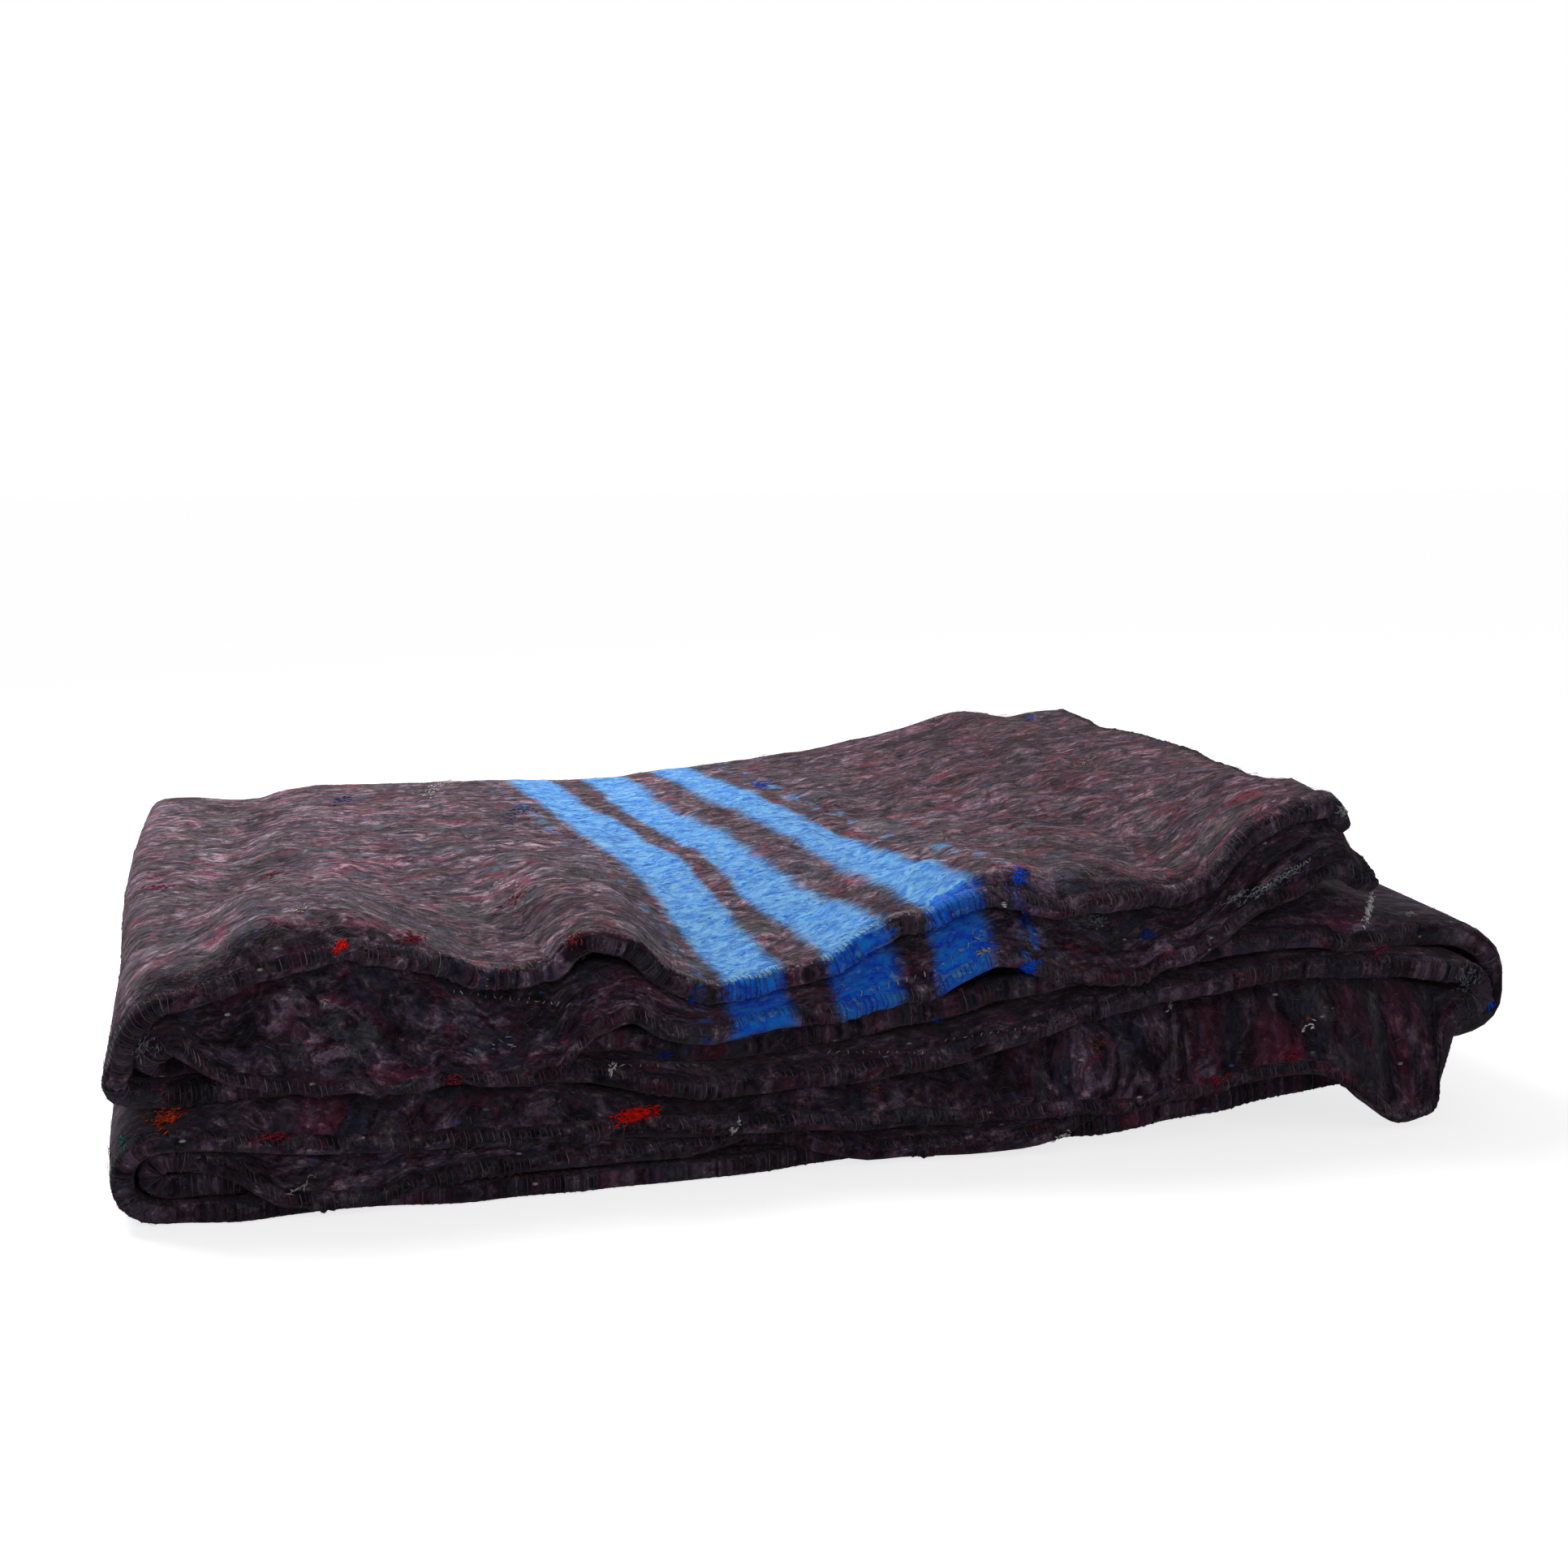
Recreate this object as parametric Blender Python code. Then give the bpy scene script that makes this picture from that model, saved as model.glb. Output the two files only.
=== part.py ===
import bpy
import numpy as np

# Sizes in millimetres, turned into metres when the mesh is made.
# The blanket is folded in half across its width, with that fold at the back and both long hems
# in front. It is then laid back and forth along its length in four panels of two plies each.
# Plies count from the top: ply 1 is the one that shows, ply 8 lies on the floor.

CLOTH_THICKNESS = 9.0
HEM_BULGE = 2.6
DEPTH = 530.0
BACK_FOLD_REACH = 6.0
FRONT_SHAPE_REACH = 210.0
MILLIMETRE = 0.001

# Cross-sections along the front, from left to right. The columns are the place along the front, then
# the height of the middle of each ply, and for plies 1 to 7 that of its hanging edge.
SECTION_COLUMNS = (
    ("x", "ply1", "edge1", "ply2", "edge2", "ply3", "edge3", "ply4")
    + ("edge4", "ply5", "edge5", "ply6", "edge6", "ply7", "edge7", "ply8")
)
SECTIONS = (
    (15, 93.5, 86.5, 80.5, 76, 65, 64, 52.5, 50, 38.5, 35, 28, 27.5, 15, 14.5, 4.5),
    (40, 106, 94, 93, 60, 67, 66, 54, 51.5, 42.5, 33, 30, 20, 16, 15.5, 4.5),
    (62, 120, 103, 106.5, 54, 67.5, 66.5, 54.5, 52, 43, 30, 30, 4.5, 16.5, 16, 4.5),
    (90, 118.5, 109.5, 105.5, 52.5, 67.5, 66.5, 55, 52.5, 43.5, 27.5, 30.5, 4.5, 16.5, 16, 4.5),
    (120, 109, 104, 96.5, 52.5, 67, 66, 55, 52, 43.5, 27, 30.5, 9, 16.5, 16, 4.5),
    (150, 97, 95.5, 84, 52, 66, 65, 54.5, 51.5, 43, 26, 29.5, 13, 15.5, 15, 4.5),
    (178, 97, 95.5, 84, 51, 64, 63, 53, 50, 40.5, 25.5, 28, 13, 15.5, 15, 4.5),
    (188, 105.5, 103, 89, 62, 63.5, 62.5, 52.5, 48.5, 38, 25.5, 27, 13, 15, 14.5, 4.5),
    (198, 112, 109, 93, 70, 63.5, 62.5, 52, 47, 36.5, 25, 26, 13, 15, 14, 4.5),
    (212, 104.5, 102, 90, 73, 62.5, 61.5, 51, 44.5, 35, 25, 25.5, 13, 14.5, 14, 4.5),
    (232, 91, 89, 80, 66, 58.5, 57.5, 47.5, 42, 34.5, 24.5, 24.5, 13, 14.5, 14, 4.5),
    (255, 83, 81.5, 72, 64, 55, 54, 44, 39.5, 34, 23.5, 24, 16, 14.5, 14, 4.5),
    (278, 89, 87.5, 77.5, 70, 57.5, 56.5, 46, 41, 34.5, 22.5, 24.5, 23, 14.5, 14, 4.5),
    (300, 92.5, 90.5, 81, 71, 60, 59, 48, 42, 35.5, 21.5, 25, 24.5, 14.5, 10, 4.5),
    (325, 105, 103, 93, 74, 63, 62, 49, 42.5, 36, 20.5, 25.5, 24.5, 14.5, 5, 4.5),
    (345, 110.5, 107.5, 99, 76, 66, 65, 51, 44, 37, 20, 26, 25, 14.5, 5, 4.5),
    (365, 123, 116, 109, 86, 70, 69, 55, 47.5, 40.5, 19.5, 27.5, 26.5, 15, 5, 4.5),
    (388, 126.5, 116.5, 112.5, 89.5, 74, 73, 59.5, 52.5, 45.5, 19.5, 30, 29, 15.5, 6, 4.62),
    (410, 124.5, 112, 110, 82, 77, 76, 64.5, 58.5, 51, 19.5, 34, 33, 17, 9.5, 4.95),
    (440, 123, 115, 108, 80, 82, 81, 70.5, 66.5, 58, 19.5, 38.5, 37.5, 19, 18.5, 6.5),
    (466, 117, 112, 105, 84, 87, 86, 73, 69.5, 62, 22, 41.5, 40.5, 21.5, 21, 9.5),
    (486, 124, 120, 112, 94, 91, 88, 75.5, 72, 64, 25, 43.5, 42.5, 23.5, 23, 10.5),
    (508, 142, 138, 129, 107, 96, 89, 77.5, 74, 66.5, 28, 46, 45, 25.5, 25, 12),
    (530, 153.5, 149.5, 140.5, 117, 103, 90, 79.5, 76.5, 68.5, 31, 49, 48, 27.5, 27, 14),
    (548, 155, 151, 138, 121.5, 105.5, 88.5, 79.5, 76.5, 68.5, 27, 49.5, 48.5, 28.5, 28, 15),
    (563, 134, 129, 124.5, 117, 104.5, 87, 79, 76, 67, 18.5, 49.5, 48.5, 29, 28.5, 16),
    (583, 134, 130, 122, 116, 99.5, 90, 79, 76.5, 64.5, 7, 47.5, 46.5, 30.5, 30, 17),
    (594, 134, 130.5, 120, 115, 97, 93, 78.5, 76, 61.5, 4.5, 46.5, 45.5, 31, 30.5, 17.5),
    (602, 134, 130.5, 119, 115, 94.5, 93, 79.5, 77, 60, 9, 46, 45, 31.5, 31, 17.5),
    (612, 134, 131, 118, 115, 92, 91, 79, 76.5, 58.5, 57.5, 45, 44, 32, 31.5, 17.5),
)

# How far each ply's edge comes forward of the front plane, by place along the front.
REACH_COLUMNS = ("x", "ply1", "ply2", "ply3", "ply4", "ply5", "ply6", "ply7", "ply8")
REACHES = (
    (15, 5.0, 6.5, -9, -6, 9, -6, -8, 5),
    (40, 6.0, 6.5, -9, -6, 9, -1, -11, 0),
    (62, 6.5, 6.5, -9, -6, 9, 7, -12, -7),
    (90, 4.5, 6.5, -9, -6, 9, 7, -12, -7),
    (120, 2.0, 6.5, -9, -6, 9, 6, -12, -6),
    (150, 2.0, 6.5, -9, -6, 9, 5, -12, 3),
    (190, 2.0, 6.5, -9, -6, 9, 5, -12, 4),
    (220, 2.0, 6.5, -9, 5, 9, 4, -12, 4),
    (255, 2.0, 6.5, -9, 5, 9, 1, -11, -4),
    (278, 2.0, 7.5, -9, 5, 9, -4, -9, -14),
    (300, 2.0, 9.0, -9, 5, 9, -7, -4, -15),
    (345, 3.0, 10.5, -9, 5, 9, -7, 0, -15),
    (365, 6.0, 10.5, -9, 5, 9, -7, 0, -15),
    (388, 9.5, 10.5, -9, 5, 9, -7, 0, -15),
    (410, 9.5, 10.5, -9, 5, 9, -7, 0, -13),
    (440, 7.0, 10.5, -9, 5, 9, -7, -2, -4),
    (466, 3.0, 10.5, -9, 5, 9, -5, -3, 0),
    (486, 2.0, 10.5, -2, 5, 9, -4, -4, 0),
    (508, 2.0, 10.5, 5, 5, 9, -4, -4, 2),
    (563, 2.0, 10.5, 5, 5, 13, -6, -4, 2),
    (583, 2.0, 10.5, -3, 5, 13, -12, -4, 2),
    (602, 2.0, 10.5, -9, 5, 13, -12, -4, 2),
    (612, 2.0, 10.5, -9, 5, 13, -12, -4, 2),
)

# Where the bend over the front starts, by ply.
BEND_START = {1: 12, 2: 12, 3: 24, 4: 12, 5: 12, 6: 16, 7: 16, 8: 24}

# The outline in plan at the front and at the back: the left end draws in and the right end flares out.
PLAN_LEFT = (18.0, 53.0)
PLAN_RIGHT = (563.0, 634.0)

# Height of ply 1 along the back, where the plies below it lie evenly spaced down to the floor.
BACK_COLUMNS = ("x", "ply1")
BACK_HEIGHTS = (
    (15, 98),
    (60, 104),
    (95, 106),
    (190, 105),
    (250, 103),
    (310, 108),
    (370, 114),
    (405, 119),
    (500, 136),
    (563, 138),
    (612, 138),
)

# The two lowest plies draw back from the front plane towards the right. Columns: place, set-back.
SET_BACK = ((400, 0), (470, 13), (527, 26), (580, 36), (612, 38))
SET_BACK_START = 12.0
SET_BACK_FADE = 300.0

# Where each ply's level part starts and ends.
# Columns: left at the front, left at the back, right at the front, right at the back.
LEVEL_PART = {
    1: (18, 53, 554, 634),
    2: (20, 55, 565, 629),
    3: (20, 55, 602, 590),
    4: (20, 55, 612, 594),
    5: (17, 55, 612, 594),
    6: (19, 57, 602, 590),
    7: (19, 57, 572, 600),
    8: (17, 55, 576, 602),
}

# The turns at the ends.
# Columns: ply it leaves, ply it reaches, side it bulges to, reach at the front, reach behind.
TURNS = {
    "A": ((1, 4, -1, 21.5, 18.5), (4, 5, 1, 19.0, 14.0), (5, 8, -1, 20.0, 16.0)),
    "B": ((2, 3, -1, 12.5, 5.5), (3, 6, 1, 45.0, 35.0), (6, 7, -1, 5.5, 5.5)),
}
TURN_REACH = 130.0
TURN_SQUARENESS = 0.85

# Soft ridges of the top panel.
# Columns: x and y of the middle, half length, half width, heading in degrees, height.
TOP_RIDGES = (
    (566, 470, 120, 22, 100, 7.0),
    (618, 500, 110, 18, 78, 5.0),
    (592, 440, 120, 16, 90, -5.0),
    (600, 240, 150, 45, 82, 9.0),
    (70, 90, 130, 34, 100, 4.0),
    (215, 120, 140, 30, 96, 5.0),
    (160, 150, 150, 34, 97, -4.0),
    (330, 260, 170, 45, 75, 3.0),
    (470, 200, 150, 40, 110, -4.0),
    (110, 360, 150, 40, 80, 2.5),
)

# The grid: places along each panel, steps round each turn, steps down the hanging front, places
# back along a ply and steps round the back fold.
STATIONS = (
    (18, 40, 62, 76, 90, 105, 120, 135, 150, 178, 183, 188, 198, 205, 212, 232, 255, 278, 300, 325)
    + (335, 345, 355, 365, 388, 410, 440, 453, 466, 486, 497, 508, 519, 530, 539, 548, 556, 563),
    (18, 62, 120, 178, 198, 212, 255, 300, 345, 388, 440, 466, 486, 508, 530, 563, 583, 602),
    (18, 40, 62, 120, 178, 232, 278, 325, 365, 410, 486, 530, 548, 563, 573, 583, 590, 598, 605, 612),
    (18, 75, 130, 208, 278, 365, 430, 480, 530, 576),
)
STEPS_TURN = (5, 6, 5)
STEPS_HANGING = 5
BACKWARD_ROWS = (34, 70, 115, 170, 250, 380, 530)
STEPS_BACK_FOLD = 4


def column(table, names, name):
    return np.array([row[names.index(name)] for row in table], float)


def soft_lookup(at, places, values):
    """A smooth curve through the table: cubic pieces that meet with the same slope and never overshoot."""
    at = np.clip(at, places[0], places[-1])
    step = np.diff(places)
    rise = np.diff(values) / step
    slope = np.zeros(len(places))
    same_way = rise[:-1] * rise[1:] > 0
    both = np.where(same_way, rise[:-1] + rise[1:], 1.0)
    slope[1:-1] = np.where(same_way, 2 * rise[:-1] * rise[1:] / both, 0.0)
    slope[0] = rise[0]
    slope[-1] = rise[-1]
    piece = np.clip(np.searchsorted(places, at, side="right") - 1, 0, len(step) - 1)
    part = (at - places[piece]) / step[piece]
    start = values[piece]
    end = values[piece + 1]
    square = part * part
    cube = square * part
    value = (2 * cube - 3 * square + 1) * start + (3 * square - 2 * cube) * end
    value = value + (cube - 2 * square + part) * step[piece] * slope[piece]
    return value + (cube - square) * step[piece] * slope[piece + 1]


def ease(part):
    part = np.clip(part, 0.0, 1.0)
    return part * part * (3 - 2 * part)


def section_place(x, y):
    """The place in the table of sections that a point of the plan belongs to."""
    back = np.clip(y / DEPTH, 0, 1)
    left = PLAN_LEFT[0] + (PLAN_LEFT[1] - PLAN_LEFT[0]) * back**2
    right = PLAN_RIGHT[0] + (PLAN_RIGHT[1] - PLAN_RIGHT[0]) * back
    return PLAN_LEFT[0] + (x - left) * (PLAN_RIGHT[0] - PLAN_LEFT[0]) / (right - left)


def ply_height(ply, x, y):
    """Height of the middle of a ply: the front section blends into the evenly spaced back."""
    place = section_place(x, y)
    places = column(SECTIONS, SECTION_COLUMNS, "x")
    front = soft_lookup(place, places, column(SECTIONS, SECTION_COLUMNS, "ply%d" % ply))
    back_places = column(BACK_HEIGHTS, BACK_COLUMNS, "x")
    top = soft_lookup(place, back_places, column(BACK_HEIGHTS, BACK_COLUMNS, "ply1"))
    floor = CLOTH_THICKNESS / 2
    back = floor + (top - floor) * (8 - ply) / 7
    height = front + (back - front) * ease(y / FRONT_SHAPE_REACH)
    share = {1: 1.0, 2: 0.8, 3: 0.35, 4: 0.2}.get(ply, 0.0)
    for ridge_x, ridge_y, half_length, half_width, heading, ridge_height in TOP_RIDGES:
        turn = np.radians(heading)
        along = (x - ridge_x) * np.cos(turn) + (y - ridge_y) * np.sin(turn)
        across = (ridge_y - y) * np.cos(turn) + (x - ridge_x) * np.sin(turn)
        bump = np.exp(-((along / half_length) ** 2) - (across / half_width) ** 2)
        height = height + share * ridge_height * bump * ease((y + 5) / 60)
    return height


def hanging_drop(ply, x_front):
    """How far the front edge of a ply hangs below the ply itself."""
    if ply == 8:
        return np.zeros_like(x_front)
    places = column(SECTIONS, SECTION_COLUMNS, "x")
    level = soft_lookup(x_front, places, column(SECTIONS, SECTION_COLUMNS, "ply%d" % ply))
    edge = soft_lookup(x_front, places, column(SECTIONS, SECTION_COLUMNS, "edge%d" % ply))
    return np.maximum(level - edge, 0.5)


def level_part(ply, stations, row):
    """One row of a ply, left to right. Rows 0 to STEPS_HANGING follow a quarter ellipse down the front."""
    left_front, left_back, right_front, right_back = LEVEL_PART[ply]
    x_front = np.array(stations, float)
    beyond = x_front > 530
    x_front[beyond] = 530 + (x_front[beyond] - 530) * (right_front - 530) / (x_front[-1] - 530)
    x_front[0] = left_front
    part = (x_front - left_front) / (right_front - left_front)
    set_back = np.zeros_like(x_front)
    if ply >= 7:
        places = column(SET_BACK, ("x", "back"), "x")
        set_back = soft_lookup(x_front, places, column(SET_BACK, ("x", "back"), "back"))
    drop = hanging_drop(ply, x_front)
    places = column(REACHES, REACH_COLUMNS, "x")
    reach = soft_lookup(x_front, places, column(REACHES, REACH_COLUMNS, "ply%d" % ply))
    if row <= STEPS_HANGING:
        share = 1 - row / STEPS_HANGING
        steepest = np.pi / 2 * (1 - np.exp(-np.maximum(drop, 0.4) / 15))
        angle = steepest * share
        start = BEND_START[ply]
        y = start - (start + reach) * np.sin(angle) / np.sin(steepest)
        down = drop * (1 - np.cos(angle)) / (1 - np.cos(steepest))
    else:
        y = np.full_like(x_front, BACKWARD_ROWS[row - STEPS_HANGING - 1])
        down = np.zeros_like(x_front)
    y = y + set_back * (1 - ease((y - SET_BACK_START) / SET_BACK_FADE))
    back = np.clip(y / DEPTH, 0, 1)
    left = left_front + (left_back - left_front) * back**2
    right = right_front + (right_back - right_front) * back
    x = left + (right - left) * part
    z = ply_height(ply, x, y) - down
    return np.stack([x, y, z], axis=-1)


def turn_between(first, last, side, reach_front, reach_behind, steps):
    """Half of a slightly squared ellipse from the end of one ply to the start of the next."""
    angle = np.linspace(0, np.pi, steps + 1)[1:-1, None]
    mixed = (1 - np.sign(np.cos(angle)) * np.abs(np.cos(angle)) ** TURN_SQUARENESS) / 2
    points = first + (last - first) * mixed
    half_height = abs(first[2] - last[2]) / 2
    reach = reach_front + (reach_behind - reach_front) * ease(first[1] / TURN_REACH)
    points[:, 0] += side * min(reach, 1.75 * half_height) * np.sin(angle[:, 0]) ** TURN_SQUARENESS
    return points


def cloth_row(cloth, row):
    """One row of the cloth over its whole length, from the end of the top panel to that of the bottom one."""
    plies = (1, 4, 5, 8) if cloth == "A" else (2, 3, 6, 7)
    pieces = []
    for number, ply in enumerate(plies):
        points = level_part(ply, STATIONS[number], row)
        if number % 2 == 0:
            points = points[::-1]
        if pieces:
            turn = TURNS[cloth][number - 1]
            pieces.append(turn_between(pieces[-1][-1], points[0], *turn[2:], STEPS_TURN[number - 1]))
        pieces.append(points)
    return np.concatenate(pieces)


def middle_surface():
    """Rows run from the lower hem, back along cloth half B, round the back fold and forward along half A."""
    last = STEPS_HANGING + len(BACKWARD_ROWS)
    half_a = [cloth_row("A", row) for row in range(last + 1)]
    half_b = [cloth_row("B", row) for row in range(last + 1)]
    middle = (half_a[last] + half_b[last]) / 2
    spread = (half_b[last] - half_a[last]) / 2
    fold = []
    for number in range(1, STEPS_BACK_FOLD):
        angle = np.pi * number / STEPS_BACK_FOLD
        points = middle + spread * np.cos(angle)
        points[:, 1] += BACK_FOLD_REACH * np.sin(angle)
        fold.append(points)
    return np.stack(half_b + fold + half_a[::-1], axis=1)


def normals_of(grid):
    along = np.gradient(grid, axis=0)
    across = np.gradient(grid, axis=1)
    normal = np.cross(along, across)
    return normal / np.linalg.norm(normal, axis=-1, keepdims=True)


def thick_sheet(grid):
    """Points and faces of the cloth: both sides, and a rounded rim one point wide."""
    normal = normals_of(grid)
    rows, columns = grid.shape[:2]
    over = grid + normal * CLOTH_THICKNESS / 2
    under = grid - normal * CLOTH_THICKNESS / 2
    count = rows * columns
    number = np.arange(count).reshape(rows, columns)
    quads_over = np.stack([number[:-1, :-1], number[1:, :-1], number[1:, 1:], number[:-1, 1:]], axis=-1)
    quads_over = quads_over.reshape(-1, 4)
    quads_under = (quads_over + count)[:, ::-1]
    rim = np.concatenate([number[:-1, 0], number[-1, :-1], number[:0:-1, -1], number[0, :0:-1]])
    inward = np.concatenate([grid[:-1, 1], grid[-2, :-1], grid[:0:-1, -2], grid[1, :0:-1]])
    edge = grid.reshape(-1, 3)[rim]
    outward = edge - inward
    outward = outward / np.linalg.norm(outward, axis=1, keepdims=True)
    middle = edge + outward * HEM_BULGE
    after = np.roll(np.arange(len(rim)), -1)
    middle_number = 2 * count + np.arange(len(rim))
    rim_upper = np.stack([rim, middle_number, middle_number[after], rim[after]], axis=-1)
    rim_lower = np.stack([middle_number, rim + count, rim[after] + count, middle_number[after]], axis=-1)
    points = np.concatenate([over.reshape(-1, 3), under.reshape(-1, 3), middle])
    return points, np.concatenate([quads_over, quads_under, rim_upper, rim_lower])


def cloth_material():
    material = bpy.data.materials.new("recycled_felt")
    material.use_nodes = True
    shader = material.node_tree.nodes["Principled BSDF"]
    shader.inputs["Base Color"].default_value = (0.095, 0.075, 0.082, 1)
    shader.inputs["Roughness"].default_value = 0.95
    shader.inputs["Metallic"].default_value = 0.0
    return material


for old in list(bpy.data.objects):
    bpy.data.objects.remove(old)

points, faces = thick_sheet(middle_surface())
low = points.min(axis=0)
high = points.max(axis=0)
points = (points - [(low[0] + high[0]) / 2, (low[1] + high[1]) / 2, low[2]]) * MILLIMETRE
mesh = bpy.data.meshes.new("blanket")
mesh.from_pydata(points.tolist(), [], faces.tolist())
mesh.materials.append(cloth_material())
mesh.polygons.foreach_set("use_smooth", [True] * len(mesh.polygons))
blanket = bpy.data.objects.new("blanket", mesh)
bpy.context.scene.collection.objects.link(blanket)
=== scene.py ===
import bpy
import numpy as np
from mathutils import Matrix, Vector
from mathutils.bvhtree import BVHTree


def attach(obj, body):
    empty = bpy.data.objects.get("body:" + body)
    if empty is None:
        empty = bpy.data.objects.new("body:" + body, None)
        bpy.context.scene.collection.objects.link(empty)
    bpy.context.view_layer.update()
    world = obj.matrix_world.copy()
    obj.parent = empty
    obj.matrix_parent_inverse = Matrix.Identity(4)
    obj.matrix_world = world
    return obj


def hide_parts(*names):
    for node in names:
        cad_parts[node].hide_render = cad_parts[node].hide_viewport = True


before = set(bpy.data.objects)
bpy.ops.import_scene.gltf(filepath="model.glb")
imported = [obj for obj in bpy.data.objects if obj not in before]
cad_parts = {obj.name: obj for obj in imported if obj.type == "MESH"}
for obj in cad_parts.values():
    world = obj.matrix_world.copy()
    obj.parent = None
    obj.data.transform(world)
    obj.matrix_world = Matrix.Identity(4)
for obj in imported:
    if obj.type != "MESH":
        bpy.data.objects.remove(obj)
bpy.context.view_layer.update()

# The camera at the photograph's angle: its place, its turns in degrees, and its lens in the picture's points.
view = {
    "eye": (-24.4, -1049.0, 320.0),
    "yaw": 16.3,
    "pitch": 7.63,
    "focal": 3110.0,
    "pictureWidth": 1932.0,
    "sensor": 36.0,
}

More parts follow.
